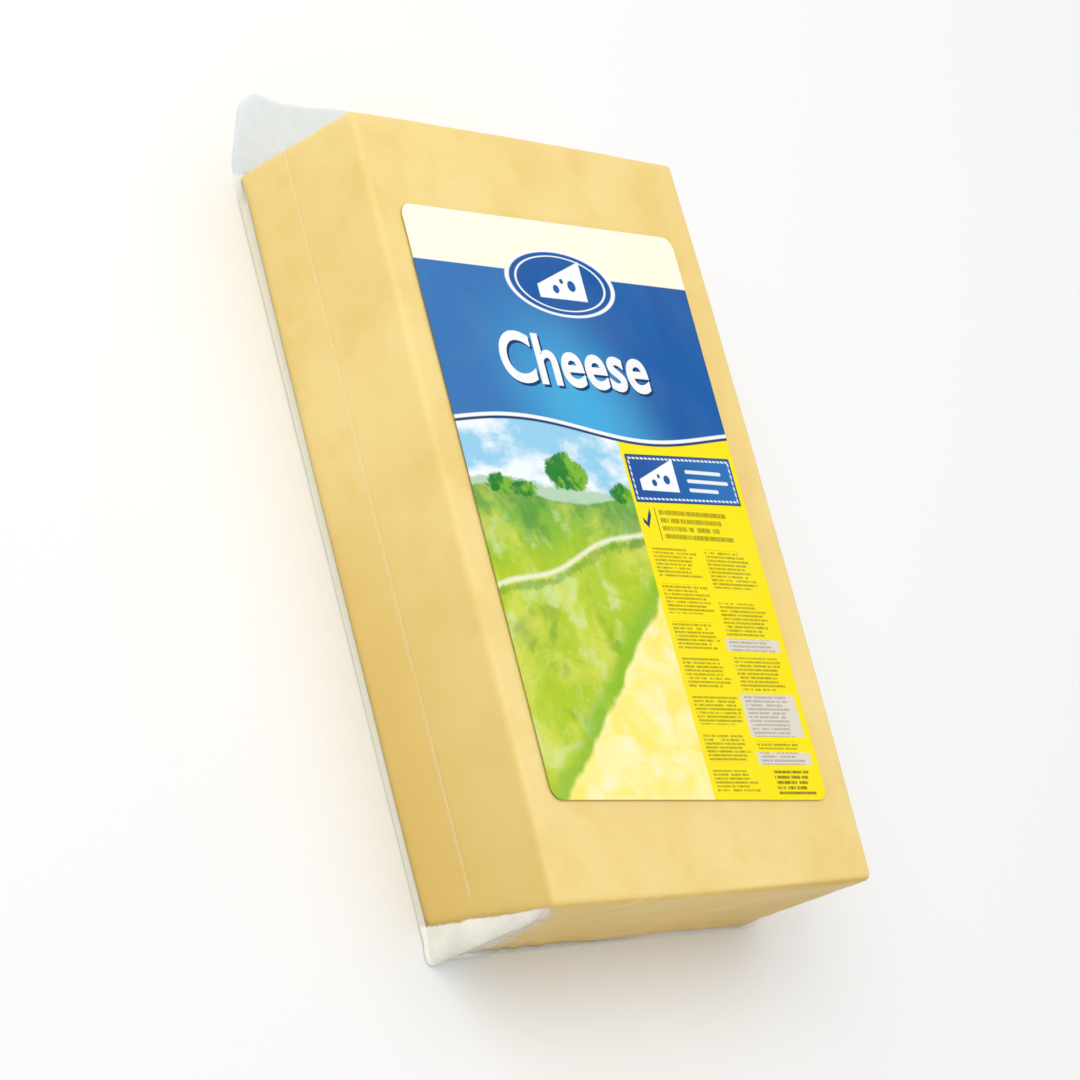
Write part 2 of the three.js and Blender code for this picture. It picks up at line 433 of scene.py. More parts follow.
@dataclass(frozen=True)
class PackShape:
    """The loaf's form, taken from the frame's solids, and the creases that its wrapping leaves."""

    width: float = 176.0 * MM
    side_lean: float = 3.3 * MM
    side_bow: float = 0.5 * MM
    right_bow: float = 2.2 * MM
    end_bow: float = 0.6 * MM
    corner: float = 2.5 * MM
    foot_back_corner: float = 13.0 * MM
    edge: float = 2.5 * MM
    back_edge: float = 1.5 * MM
    ridge_height: float = 24.0 * MM
    fold_depth: float = 1.5 * MM
    swell: float = 0.22 * MM
    swell_span: float = 45.0 * MM
    dent: float = 0.05 * MM
    dent_span: float = 14.0 * MM
    label_shift: tuple[float, float] = (-1.5 * MM, -1.0 * MM)
    label_pivot: float = 35.0 * MM
    label_slant: float = -0.0133
    label_fan: float = 0.204
    low: Vector = field(default_factory=lambda: Vector(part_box("cheese_block")[0]))
    high: Vector = field(default_factory=lambda: Vector(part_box("cheese_block")[1]))

    @property
    def centre(self) -> Vector:
        """Return the middle of the loaf at the level of the surface that it lies on."""
        return Vector(((self.low.x + self.high.x) / 2.0, (self.low.y + self.high.y) / 2.0, 0.0))

    @property
    def label_middle(self) -> Vector:
        """Return the middle of the label at the level of the surface that the loaf lies on."""
        return self.centre + Vector((*self.label_shift, 0.0))

    def askew(self, place: Vector) -> Vector:
        """Slant a place of the plain label, which lies a little askew, more so towards the foot."""
        away = place - self.label_middle
        rise = self.label_slant + self.label_fan * away.y
        return place + Vector((0.0, (away.x - self.label_pivot) * rise, 0.0))

    @property
    def half_width(self) -> float:
        """Return half the width of the loaf's front face at its corners."""
        return self.width / 2.0

    @property
    def half_length(self) -> float:
        """Return half the loaf's length at its corners."""
        return (self.high.y - self.low.y) / 2.0 - self.end_bow

    def height_share(self, z: float) -> float:
        """Return 0 at the loaf's back and 1 at its front face."""
        return min(max((z - self.low.z) / (self.high.z - self.low.z), 0.0), 1.0)

    def bowed(self, place: Vector) -> Vector:
        """Swell a place of the plain block outwards, as the loaf's sides and ends do."""
        across = (place.x - self.centre.x) / self.half_width
        along = (place.y - self.centre.y) / self.half_length
        share = self.height_share(place.z)
        bow = self.side_bow + (self.right_bow - self.side_bow) * share * (1.0 if across > 0.0 else 0.0)
        swell_x = (self.side_lean * (1.0 - share) + bow * max(1.0 - along * along, 0.0)) * across
        swell_y = self.end_bow * max(1.0 - across * across, 0.0) * along
        return place + Vector((swell_x, swell_y, 0.0))

    def corner_pull(self, place: Vector, gap: float = 0.0) -> Vector:
        """Pull a place of the plain loaf in to the rounder corners that the foot has towards its back.

        Args:
            place: The place on the plain block.
            gap: How far outside the loaf the place's own surface runs.

        Returns:
            The place on the rounder corner.
        """
        if place.y > self.centre.y:
            return place
        radius = self.foot_back_corner + (self.corner - self.foot_back_corner) * self.height_share(place.z)
        fall = min(max(place.z - self.high.z + self.edge, 0.0) / self.edge, 1.0)
        rise = min(max(self.low.z + self.back_edge - place.z, 0.0) / self.back_edge, 1.0)
        inset = self.edge * (1.0 - math.sqrt(1.0 - fall * fall))
        inset += self.back_edge * (1.0 - math.sqrt(1.0 - rise * rise))
        reach = max(radius - inset, 0.5 * MM) + gap
        x, y = place.x - self.centre.x, place.y - self.centre.y
        over_x, over_y = abs(x) - (self.half_width - radius), abs(y) - (self.half_length - radius)
        if over_x <= 0.0 or over_y <= 0.0 or math.hypot(over_x, over_y) <= reach:
            return place
        share = reach / math.hypot(over_x, over_y)
        return Vector((
            self.centre.x + math.copysign(self.half_width - radius + over_x * share, x),
            self.centre.y + math.copysign(self.half_length - radius + over_y * share, y),
            place.z,
        ))

    def uneven(self, place: Vector) -> float:
        """Return how far the pressed loaf stands out from its true form at a place."""
        slow = noise.noise(place / self.swell_span)
        quick = noise.noise(place / self.dent_span + Vector((7.0, 3.0, 1.0)))
        return self.swell * slow + self.dent * quick

    def end_folds(self, place: Vector) -> float:
        """Return how far the gathered film stands out at the foot and mouth ends.

        Args:
            place: A place on the loaf's skin.

        Returns:
            A length along the end's outward direction.
        """
        toward_end = abs(place.y - self.centre.y) - (self.half_length - 3.0 * MM)
        if toward_end <= 0.0:
            return 0.0
        grip = smoothstep(0.0, 3.0 * MM, toward_end)
        foot = place.y < self.centre.y
        drop = max(self.high.z - place.z, 0.0)
        depth = 0.0
        for side, weight in ((-1.0, 1.0), (1.0, 0.7)):
            run = max(self.half_width - side * (place.x - self.centre.x), 0.0)
            reach = math.hypot(run, drop)
            angle = math.atan2(drop, run + 1.0 * MM)
            seed = side + (3.0 if foot else 8.0)
            ridge = 1.0 - abs(noise.noise(Vector((angle * 7.5, reach / (55.0 * MM), seed))))
            fade = smoothstep(0.0, 7.0 * MM, drop) * math.exp(-run / (70.0 * MM))
            if not foot or side > 0.0:
                fade *= smoothstep(4.0 * MM, 16.0 * MM, run)
            depth += weight * fade * (ridge ** 4)
        kept = foot and place.x < self.centre.x
        inner = 1.0 if kept else smoothstep(4.0 * MM, 16.0 * MM, self.half_width - abs(place.x - self.centre.x))
        inner *= smoothstep(self.low.z, self.low.z + 7.0 * MM, place.z)
        drape = noise.noise(Vector((place.x / (40.0 * MM), drop / (6.0 * MM), 5.0 if foot else 11.0)))
        depth += 0.45 * drape * inner * smoothstep(4.0 * MM, 22.0 * MM, drop)
        pleat = noise.noise(Vector((place.x / (5.0 * MM), drop / (45.0 * MM), 2.0)))
        depth += 0.35 * pleat * inner * smoothstep(30.0 * MM, 52.0 * MM, drop)
        return grip * self.fold_depth * depth

    def skin(self, place: Vector, normal: Vector) -> Vector:
        """Shape one place of the loaf or of the film that clings to it.

        Args:
            place: The place on the plain block.
            normal: Its outward direction.

        Returns:
            The finished place.
        """
        shaped = self.bowed(place) + normal * self.uneven(place)
        direction = math.copysign(1.0, place.y - self.centre.y)
        return shaped + Vector((0.0, direction * self.end_folds(place), 0.0))


# ---------------------------------------------------------------- finishes


@dataclass(frozen=True)
class CheeseFinish:
    """Smooth, faintly waxy yellow cheese seen through tight film, with painted shade and painted highlights on its
    sides and foot end.
    """

    body: Colour = srgb(241, 210, 128)
    pale: Colour = srgb(248, 222, 146)
    # The deeper yellow serves both as random patches of the cheese and as painted shade low on the loaf.
    deep_tone_and_shade: Colour = srgb(235, 198, 106)
    # Painted shade colour for the foot end, which faces away from the lights.
    foot_end_shade: Colour = srgb(232, 195, 98)
    # Painted shade colour for the right half of the foot end.
    foot_end_right_shade: Colour = srgb(214, 174, 58)
    # Painted shade colour for the long left side.
    flank_shade: Colour = srgb(220, 184, 92)
    roughness: float = 0.42
    specular: float = 0.2
    coat: float = 0.2
    coat_roughness: float = 0.14
    scatter: float = 0.12
    scatter_depth: float = 4.0 * MM

    def build(self, shape: PackShape) -> bpy.types.Material:
        """Make the material.

        Args:
            shape: Sizes of the loaf.

        Returns:
            The material.
        """
        material, sketch, shader = new_material("cheese")
        place, x, y, z = sketch.place_mm(shape.centre)
        mottle = add_mottle(sketch, place, 0.018, 0.12)
        tone = sketch.mix(mottle.outputs["Tone"], self.body, self.pale)
        patch = sketch.rise(sketch.noise(place, 0.05, 3.0, 0.6), 0.48, 0.68)
        tone = sketch.mix(sketch.times(patch, 0.28), tone, self.deep_tone_and_shade)
        # Painted shade: the lower part of the sides and ends, more so towards the foot, is mixed towards the deeper
        # yellow.
        low = sketch.rise(z, 52.0, 8.0)
        foot = sketch.rise(y, 60.0, -130.0)
        tone = sketch.mix(sketch.times(low, foot, 0.6), tone, self.deep_tone_and_shade)
        # Painted shade: the long left side darkens towards the foot.
        flank_shade_mask = sketch.times(sketch.rise(x, 2.0 - shape.half_width / MM, -shape.half_width / MM), foot)
        tone = sketch.mix(sketch.times(flank_shade_mask, 0.5), tone, self.flank_shade)
        grain = sketch.noise(place, 1.6, 4.0, 0.7)
        tone = sketch.mix(sketch.times(sketch.rise(grain, 0.55, 0.75), 0.14), tone, self.pale)
        gathered = sketch.rise(y, 1.5 - shape.half_length / MM, -shape.half_length / MM)
        streaks = self.streaks(sketch, shape, x, z)
        # Painted shade: the whole foot end face is darkened, as it faces away from the lights.
        tone = sketch.mix(sketch.times(gathered, 0.85), tone, self.foot_end_shade)
        # Painted highlight: the ridges of the foot end's folds are lightened towards the pale yellow, as the film's
        # sheen on them.
        tone = sketch.mix(sketch.times(gathered, sketch.rise(streaks, 0.5, 0.68), 0.4), tone, self.pale)
        # Painted shade: the foot end grows darker still towards its right.
        shaded = sketch.times(gathered, sketch.rise(x, 0.0, 80.0), 0.6)
        tone = sketch.mix(shaded, tone, self.foot_end_right_shade)
        sketch.feed(shader.inputs["Base Color"], tone)
        rough = sketch.plus(sketch.times(mottle.outputs["Height"], 0.16), self.roughness)
        sketch.feed(shader.inputs["Roughness"], rough)
        height = sketch.plus(sketch.times(grain, 0.18), mottle.outputs["Height"])
        height = sketch.plus(height, sketch.times(gathered, streaks, 4.0))
        sketch.feed(shader.inputs["Normal"], sketch.bump(height, 0.5 * MM, 0.22))
        shader.inputs["Subsurface Weight"].default_value = self.scatter
        shader.inputs["Subsurface Radius"].default_value = (1.0, 0.55, 0.22)
        shader.inputs["Subsurface Scale"].default_value = self.scatter_depth
        shader.inputs["Specular IOR Level"].default_value = self.specular
        shader.inputs["Coat Weight"].default_value = self.coat
        shader.inputs["Coat Roughness"].default_value = self.coat_roughness
        return material

    def streaks(self, sketch: Sketch, shape: PackShape, x: Number, z: Number) -> Socket:
        """Return the fine folds of the foot end, which sweep out from its left back corner.

        Args:
            sketch: The tree to draw in.
            shape: Sizes of the loaf.
            x: Millimetres across the loaf from its middle.
            z: Millimetres up from the surface that it lies on.

        Returns:
            Noise that is drawn out along the folds.
        """
        run = sketch.plus(x, (shape.half_width + shape.side_lean) / MM + 12.0)
        angle = sketch.math("ARCTAN2", sketch.plus(z, 4.0), run)
        reach = sketch.math("SQRT", sketch.plus(sketch.times(run, run), sketch.times(z, z)))
        across = sketch.plus(sketch.times(angle, 11.0), sketch.times(z, 0.07))
        return sketch.noise(sketch.point(across, sketch.times(reach, 0.016)), 1.0, 4.0, 0.6, 0.3)


@dataclass(frozen=True)
class FilmFinish:
    """Clear barrier film: unseen where it clings, and milky where it is sealed or bridges a hollow; low along the seal
    the milky film is also painted light over the loaf's contact shadow.

    The reaches are in millimetres. The web is the spare film drawn across the foot's left upright
    corner: it widens downwards to web_side along the long side and web_end along the foot end.
    """

    tint: Colour = srgb(244, 251, 255)
    milky: Colour = srgb(254, 252, 238)
    glint: Colour = srgb(255, 240, 190)
    clinging: float = 0.012
    rim: float = 0.012
    flap: float = 0.6
    # Opacity of the sealed rim, which low down also paints light over the loaf's contact shadow.
    seam_and_painted_light: float = 0.75
    web: float = 0.9
    crease: float = 0.32
    web_side: float = 9.5
    web_end: float = 29.0
    roughness: float = 0.12
    specular: float = 0.5

    def build(self, shape: PackShape) -> bpy.types.Material:
        """Make the material.

        Args:
            shape: Sizes of the loaf.

        Returns:
            The material.
        """
        material, sketch, shader = new_material("clear_film")
        place, _, y, z = sketch.place_mm(shape.centre)
        half_length = shape.half_length / MM
        mottle = add_mottle(sketch, place, 0.03, 0.22)
        free = sketch.node("ShaderNodeAttribute", attribute_name="free").outputs["Fac"]
        web = self.web_mask(sketch, shape, place)
        seam_and_painted_light = self.seam_and_light_mask(sketch, shape, place)
        crease = self.crease_mask(sketch, shape, place)
        flap = sketch.times(free, sketch.rise(y, half_length - 1.0, half_length + 3.0), sketch.rise(z, 8.0, 4.0))
        alpha = sketch.plus(self.clinging, sketch.times(free, self.rim))
        alpha = sketch.plus(alpha, sketch.times(flap, self.flap))
        cloud = sketch.plus(0.75, sketch.times(mottle.outputs["Tone"], 0.5))
        alpha = sketch.plus(sketch.times(alpha, cloud), sketch.times(web, self.web))
        alpha = sketch.plus(alpha, sketch.times(crease, self.crease))
        alpha = sketch.plus(alpha, sketch.times(seam_and_painted_light, self.seam_and_painted_light), clamp=True)
        sketch.feed(shader.inputs["Alpha"], alpha)
        tone = sketch.mix(sketch.math("MAXIMUM", web, seam_and_painted_light), self.tint, self.milky)
        sketch.feed(shader.inputs["Base Color"], sketch.mix(crease, tone, self.glint))
        rough = sketch.plus(self.roughness, sketch.times(mottle.outputs["Tone"], 0.1))
        sketch.feed(shader.inputs["Roughness"], rough)
        sketch.feed(shader.inputs["Normal"], sketch.bump(mottle.outputs["Height"], 0.6 * MM, 0.35))
        shader.inputs["Specular IOR Level"].default_value = self.specular
        return material

    def web_mask(self, sketch: Sketch, shape: PackShape, place: Socket) -> Socket:
        """Return where spare film bridges the foot's left upright corner.

        Args:
            sketch: The tree to draw in.
            shape: Sizes of the loaf.
            place: The point in millimetres.

        Returns:
            The mask, thinner away from the corner.
        """
        x, y, z = sketch.parts(place)
        half_width, half_length = shape.half_width / MM, shape.half_length / MM
        share = sketch.minus(1.0, sketch.math("DIVIDE", z, shape.high.z / MM), clamp=True)
        wander = sketch.minus(sketch.noise(place, 0.11, 3.0, 0.6), 0.5)
        ragged = sketch.minus(sketch.noise(place, 0.3, 3.0, 0.6), 0.5)
        side_reach = sketch.minus(sketch.times(share, self.web_side), half_length)
        side_reach = sketch.plus(side_reach, sketch.times(wander, share, 5.0))
        side = sketch.inside(sketch.minus(y, side_reach), 0.5)
        end_reach = sketch.minus(half_width, sketch.times(share, self.web_end))
        end_reach = sketch.plus(end_reach, sketch.times(wander, share, 46.0))
        end_reach = sketch.plus(end_reach, sketch.times(ragged, share, 16.0))
        end = sketch.inside(sketch.minus(end_reach, sketch.absolute(x)), 8.0)
        thin = sketch.rise(x, 1.0 - half_width, 33.0 - half_width)
        thin = sketch.minus(1.0, sketch.times(thin, 0.82))
        uneven = sketch.plus(0.92, sketch.times(wander, 0.4))
        return sketch.times(side, end, sketch.rise(share, 0.01, 0.06), sketch.rise(x, 20.0, -20.0), thin, uneven)

    def seam_and_light_mask(self, sketch: Sketch, shape: PackShape, place: Socket) -> Socket:
        """Return where the rim is sealed along the long sides and the left of the foot; kept to the lowest few
        millimetres, this milky film is also painted light over the shaded gap under the loaf's edge.
        """
        x, y, z = sketch.parts(place)
        half_length = shape.half_length / MM
        edge = (shape.half_width + shape.side_lean) / MM
        sides = sketch.times(sketch.rise(sketch.absolute(x), edge - 1.6, edge - 0.2),
                             sketch.rise(y, half_length - 2.0, half_length - 14.0))
        foot = sketch.times(sketch.rise(y, -half_length - 0.3, -half_length - 1.2), sketch.rise(x, 30.0, -30.0), 0.6)
        # Painted light: held to the lowest few millimetres, the milky seam lightens the shaded gap along the loaf's
        # foot.
        return sketch.times(sketch.math("MAXIMUM", sides, foot), sketch.rise(z, 2.6, 1.6))

    def crease_mask(self, sketch: Sketch, shape: PackShape, place: Socket) -> Socket:
        """Return where the long crease of the left side catches the light."""
        x, y, z = sketch.parts(place)
        half_width, half_length = shape.half_width / MM, shape.half_length / MM
        away = sketch.absolute(sketch.minus(z, shape.ridge_height / MM))
        line = sketch.times(sketch.inside(sketch.minus(away, 0.45), 0.4),
                            sketch.rise(x, 1.5 - half_width, -half_width),
                            sketch.rise(y, 9.0 - half_length, 16.0 - half_length))
        return sketch.times(line, sketch.rise(sketch.noise(place, 0.03, 2.0), 0.1, 0.5))


@dataclass(frozen=True)
class InkFinish:
    """Opaque printed lettering."""

    name: str
    ink: Ink
    roughness: float = 0.3
    specular: float = 0.12

    def build(self, shape: PackShape) -> bpy.types.Material:
        """Make the material.

        Args:
            shape: Sizes of the loaf.

        Returns:
            The material.
        """
        material, sketch, shader = new_material(self.name)
        place = sketch.place_mm(shape.centre)[0]
        mottle = add_mottle(sketch, place, 0.2, 0.9)
        shade = tuple(0.93 * part for part in self.ink.value[:3]) + (1.0,)
        sketch.feed(shader.inputs["Base Color"], sketch.mix(mottle.outputs["Tone"], shade, self.ink.value))
        rough = sketch.plus(self.roughness, sketch.times(mottle.outputs["Tone"], 0.08))
        sketch.feed(shader.inputs["Roughness"], rough)
        shader.inputs["Specular IOR Level"].default_value = self.specular
        return material


@dataclass(frozen=True)
class FloorFinish:
    """Plain pale studio floor."""

    colour: Colour = (0.95, 0.95, 0.95, 1.0)
    roughness: float = 0.8
    specular: float = 0.1

    def build(self) -> bpy.types.Material:
        """Make the material."""
        material, _, shader = new_material("studio_floor")
        shader.inputs["Base Color"].default_value = self.colour
        shader.inputs["Roughness"].default_value = self.roughness
        shader.inputs["Specular IOR Level"].default_value = self.specular
        return material


@dataclass(frozen=True)
class LabelFinish:
    """The label's printed design, drawn in millimetres from the middle of the label.

    Each crown is a tree's middle and half sizes, and each span of text is its foot and its head.
    """

    cream_edge: float = 90.0
    wave_level: float = 28.6
    wave_height: float = 3.2
    wave_length: float = 138.0
    panel_left: float = 9.6
    roughness: float = 0.3
    specular: float = 0.12
    crowns: tuple[tuple[float, float, float, float], ...] = (
        (-27.0, 10.5, 7.5, 6.5), (-20.0, 9.5, 7.5, 6.0), (-23.5, 13.0, 6.5, 5.5),
        (-60.0, 4.5, 7.0, 4.0), (-47.0, 3.5, 6.0, 3.0), (4.0, 4.0, 6.0, 3.5),
    )
    left_text: tuple[tuple[float, float], ...] = (
        (-27.5, -16.0), (-41.5, -30.0), (-55.0, -44.5), (-69.5, -58.0), (-83.5, -72.5), (-97.5, -87.0),
        (-109.0, -100.5),
    )
    right_text: tuple[tuple[float, float], ...] = ((-31.0, -16.0), (-49.5, -36.5), (-70.5, -57.5), (-92.5, -89.5))
    grey_boxes: tuple[tuple[float, float], ...] = ((-55.2, -50.4), (-87.8, -71.6), (-98.4, -93.6))

    def build(self, shape: PackShape) -> bpy.types.Material:
        """Make the material.

        Args:
            shape: Sizes of the loaf.

        Returns:
            The material.
        """
        material, sketch, shader = new_material("label_print")
        place, x, y, _ = sketch.place_mm(shape.label_middle)
        across = sketch.minus(x, shape.label_pivot / MM)
        level = sketch.minus(y, sketch.times(across, shape.label_slant))
        y = sketch.math("DIVIDE", level, sketch.plus(1.0, sketch.times(across, shape.label_fan * MM)))
        wave = self.wave(sketch, x, y)
        colour = self.picture(sketch, x, y)
        colour = self.info_panel(sketch, place, x, y, colour)
        colour = sketch.mix(sketch.inside(sketch.minus(-1.6, wave), 0.25), colour, Ink.NAVY.value)
        colour = sketch.mix(sketch.inside(sketch.minus(-0.5, wave), 0.25), colour, Ink.WHITE.value)
        field_mask = sketch.inside(sketch.minus(0.9, wave), 0.25)
        colour = sketch.mix(field_mask, colour, self.blue_field(sketch, x, y))
        band = sketch.inside(sketch.minus(self.cream_edge, y), 0.2)
        colour = sketch.mix(band, colour, Ink.CREAM.value)
        colour = self.plaque(sketch, x, y, colour)
        mottle = add_mottle(sketch, place, 0.03, 0.09)
        shade = sketch.mix(sketch.times(mottle.outputs["Tone"], 0.03), colour, Ink.PAPER_SHADE.value)
        sketch.feed(shader.inputs["Base Color"], shade)
        rough = sketch.plus(self.roughness, sketch.times(mottle.outputs["Height"], 0.12))
        sketch.feed(shader.inputs["Roughness"], rough)
        sketch.feed(shader.inputs["Normal"], sketch.bump(mottle.outputs["Height"], 0.5 * MM, 0.18))
        shader.inputs["Specular IOR Level"].default_value = self.specular
        return material

    def box(self, sketch: Sketch, x: Number, y: Number, middle: tuple[float, float],
            half: tuple[float, float], radius: float) -> Socket:
        """Return the distance from a rounded box's outline, negative inside."""
        reach_x = sketch.absolute(sketch.minus(x, middle[0]))
        reach_y = sketch.absolute(sketch.minus(y, middle[1]))
        over_x = sketch.minus(reach_x, half[0] - radius)
        over_y = sketch.minus(reach_y, half[1] - radius)
        far_x = sketch.math("MAXIMUM", over_x, 0.0)
        far_y = sketch.math("MAXIMUM", over_y, 0.0)
        outside = sketch.math("SQRT", sketch.plus(sketch.times(far_x, far_x), sketch.times(far_y, far_y)))
        within = sketch.math("MINIMUM", sketch.math("MAXIMUM", over_x, over_y), 0.0)
        return sketch.minus(sketch.plus(outside, within), radius)

    def oval(self, sketch: Sketch, x: Number, y: Number, middle: tuple[float, float],
             half: tuple[float, float]) -> Socket:
        """Return roughly the distance from an oval's outline, negative inside."""
        share_x = sketch.math("DIVIDE", sketch.minus(x, middle[0]), half[0])
        share_y = sketch.math("DIVIDE", sketch.minus(y, middle[1]), half[1])
        size = sketch.math("SQRT", sketch.plus(sketch.times(share_x, share_x), sketch.times(share_y, share_y)))
        return sketch.times(sketch.minus(size, 1.0), min(half))

    def wedge(self, sketch: Sketch, x: Number, y: Number, middle: tuple[float, float], size: float) -> Socket:
        """Return a mask of a small wedge of cheese with two holes."""
        across = sketch.minus(x, middle[0])
        above = sketch.minus(y, middle[1])
        slope = sketch.minus(above, sketch.plus(sketch.times(across, 0.42), 0.36 * size))
        floor = sketch.minus(-0.46 * size, above)
        right = sketch.minus(across, size)
        left = sketch.minus(-size, across)
        body = sketch.math("MAXIMUM", sketch.math("MAXIMUM", slope, floor), sketch.math("MAXIMUM", right, left))
        mask = sketch.inside(body, 0.2)
        for hole_x, hole_y, radius in ((0.45, -0.02, 0.17), (-0.25, -0.16, 0.13), (0.05, 0.1, 0.08)):
            spot = (middle[0] + hole_x * size, middle[1] + hole_y * size)
            hole = self.oval(sketch, x, y, spot, (radius * size, radius * size))
            mask = sketch.times(mask, sketch.minus(1.0, sketch.inside(hole, 0.2)))
        return mask

    def wave(self, sketch: Sketch, x: Number, y: Number) -> Socket:
        """Return the height above the wavy line."""
        phase = sketch.times(sketch.plus(x, 42.0), math.tau / self.wave_length)
        line = sketch.plus(sketch.times(sketch.math("COSINE", phase), self.wave_height), self.wave_level)
        return sketch.minus(y, line)

    def blue_field(self, sketch: Sketch, x: Number, y: Number) -> Socket:
        """Return the colour of the blue field, lighter in a glow at its foot."""
        tilt = sketch.plus(x, sketch.times(y, 0.35))
        glow = self.oval(sketch, tilt, y, (8.0, 34.0), (46.0, 52.0))
        glow = sketch.rise(glow, 6.0, -44.0)
        side = sketch.rise(x, -60.0, 60.0)
        base = sketch.mix(side, Ink.EDGE_BLUE.value, Ink.DEEP_BLUE.value)
        drawn = sketch.point(sketch.times(x, 0.05), sketch.times(y, 0.018))
        streak = sketch.rise(sketch.noise(drawn, 1.0, 4.0), 0.35, 0.7)
        base = sketch.mix(sketch.times(streak, 0.3), base, Ink.MID_BLUE.value)
        return sketch.mix(glow, base, Ink.GLOW_BLUE.value)

    def picture(self, sketch: Sketch, x: Number, y: Number) -> Socket:
        """Return the colour of the painted meadow under its sky."""
        flat = sketch.point(x, y)
        wobble = sketch.minus(sketch.noise(flat, 0.045, 3.0, 0.6), 0.5)
        brush = sketch.noise(sketch.point(sketch.times(x, 0.8), y), 0.045, 4.0, 0.6, 0.8)
        dab = sketch.noise(flat, 0.22, 3.0, 0.65, 0.6)
        pale = sketch.rise(sketch.noise(flat, 0.07, 3.0, 0.6, 0.4), 0.52, 0.68)
        ragged = sketch.minus(dab, 0.5)
        colour = self.hills(sketch, x, y, wobble, self.meadow(sketch, flat, y, wobble, brush, dab, pale))
        colour = self.trees(sketch, x, y, dab, colour)
        colour = self.track(sketch, x, y, ragged, colour)
        slant = sketch.minus(y, sketch.minus(sketch.times(x, 0.98), 46.0))
        slant = sketch.plus(slant, sketch.times(wobble, 12.0))
        stubble = sketch.mix(sketch.rise(brush, 0.42, 0.64), Ink.FIELD.value, Ink.FIELD_WARM.value)
        stubble = sketch.mix(sketch.times(pale, 0.5), stubble, Ink.CREAM.value)
        border = sketch.times(sketch.inside(sketch.minus(slant, 9.0), 6.0), 0.65)
        colour = sketch.mix(border, colour, Ink.FIELD_EDGE.value)
        return sketch.mix(sketch.inside(slant, 1.6), colour, stubble)

    def meadow(self, sketch: Sketch, flat: Number, y: Number, wobble: Number, brush: Number, dab: Number,
               pale: Number) -> Socket:
        """Return the colour of the painted grass.

        Args:
            sketch: The tree to draw in.
            flat: The place on the label as a point.
            y: Millimetres up the label.
            wobble: Slow noise around 0.
            brush: Noise of the brush strokes.
            dab: Quick noise of the brush's dabs.
            pale: Mask of pale patches.

        Returns:
            The colour.
        """
        depth = sketch.plus(y, sketch.times(wobble, 44.0))
        green = sketch.mix(sketch.rise(depth, 2.0, -34.0), Ink.LEAF.value, Ink.MEADOW.value)
        green = sketch.mix(sketch.times(sketch.rise(brush, 0.4, 0.62), 0.85), green, Ink.MEADOW_LIGHT.value)
        green = sketch.mix(sketch.times(sketch.rise(dab, 0.52, 0.72), 0.3), green, Ink.LEAF.value)
        green = sketch.mix(sketch.times(pale, 0.55), green, Ink.MEADOW_PALE.value)
        green = sketch.mix(sketch.times(sketch.rise(depth, -22.0, 2.0), 0.4), green, Ink.MEADOW_FAR.value)
        shade = sketch.noise(flat, 0.05, 3.0, 0.6, 0.5)
        shade = sketch.plus(shade, sketch.times(sketch.rise(y, -24.0, 3.0), 0.2))
        shade = sketch.times(sketch.rise(shade, 0.57, 0.74), 0.45)
        return sketch.mix(shade, green, Ink.LEAF_DARK.value)

    def hills(self, sketch: Sketch, x: Number, y: Number, wobble: Number, green: Socket) -> Socket:
        """Lay the distant hills and the near ground over the sky."""
        cloud = sketch.noise(sketch.point(x, sketch.times(y, 1.7)), 0.034, 4.0, 0.55)
        near = sketch.rise(y, 18.0, 0.0)
        cover = sketch.rise(sketch.plus(cloud, sketch.times(near, 0.1)), 0.44, 0.62)
        colour = sketch.mix(cover, Ink.SKY.value, Ink.CLOUD.value)
        far = sketch.minus(3.0, sketch.times(x, 0.06))
        far = sketch.inside(sketch.minus(y, sketch.plus(far, sketch.times(wobble, 9.0))), 0.9)
        colour = sketch.mix(sketch.times(far, 0.7), colour, Ink.HILL.value)
        ridge = sketch.times(sketch.math("SINE", sketch.times(x, 0.07)), 2.6)
        ridge = sketch.plus(ridge, sketch.times(wobble, 4.0))
        ground = sketch.inside(sketch.minus(y, sketch.plus(ridge, 1.5)), 0.5)
        return sketch.mix(ground, colour, green)

    def trees(self, sketch: Sketch, x: Number, y: Number, dab: Number, under: Socket) -> Socket:
        """Lay the round crowns of the trees over a colour, each lit from the right."""
        colour = under
        ragged = sketch.minus(dab, 0.5)
        for tree_x, tree_y, wide, high in self.crowns:
            crown = self.oval(sketch, x, y, (tree_x, tree_y), (wide, high))
            crown = sketch.plus(crown, sketch.times(ragged, 6.0))
            lit = sketch.plus(sketch.times(sketch.minus(x, tree_x), 0.03), dab)
            leaf = sketch.mix(sketch.rise(lit, 0.4, 0.62), Ink.LEAF_DARK.value, Ink.LEAF.value)
            colour = sketch.mix(sketch.inside(crown, 0.7), colour, leaf)
        return colour

    def track(self, sketch: Sketch, x: Number, y: Number, ragged: Number, under: Socket) -> Socket:
        """Lay the pale track and the hedge below it over a colour."""
        away = sketch.minus(y, sketch.minus(sketch.times(x, 0.3), 13.0))
        away = sketch.plus(away, sketch.times(sketch.math("SINE", sketch.times(x, 0.11)), 1.6))
        edge = sketch.minus(sketch.absolute(away), 0.9)
        colour = sketch.mix(sketch.times(sketch.inside(edge, 0.9), 0.85), under, Ink.TRACK.value)
        hedge = sketch.minus(sketch.absolute(sketch.plus(away, 3.0)), 1.3)
        hedge = sketch.times(sketch.inside(sketch.plus(hedge, sketch.times(ragged, 9.0)), 0.8), 0.4)
        return sketch.mix(hedge, colour, Ink.LEAF_DARK.value)

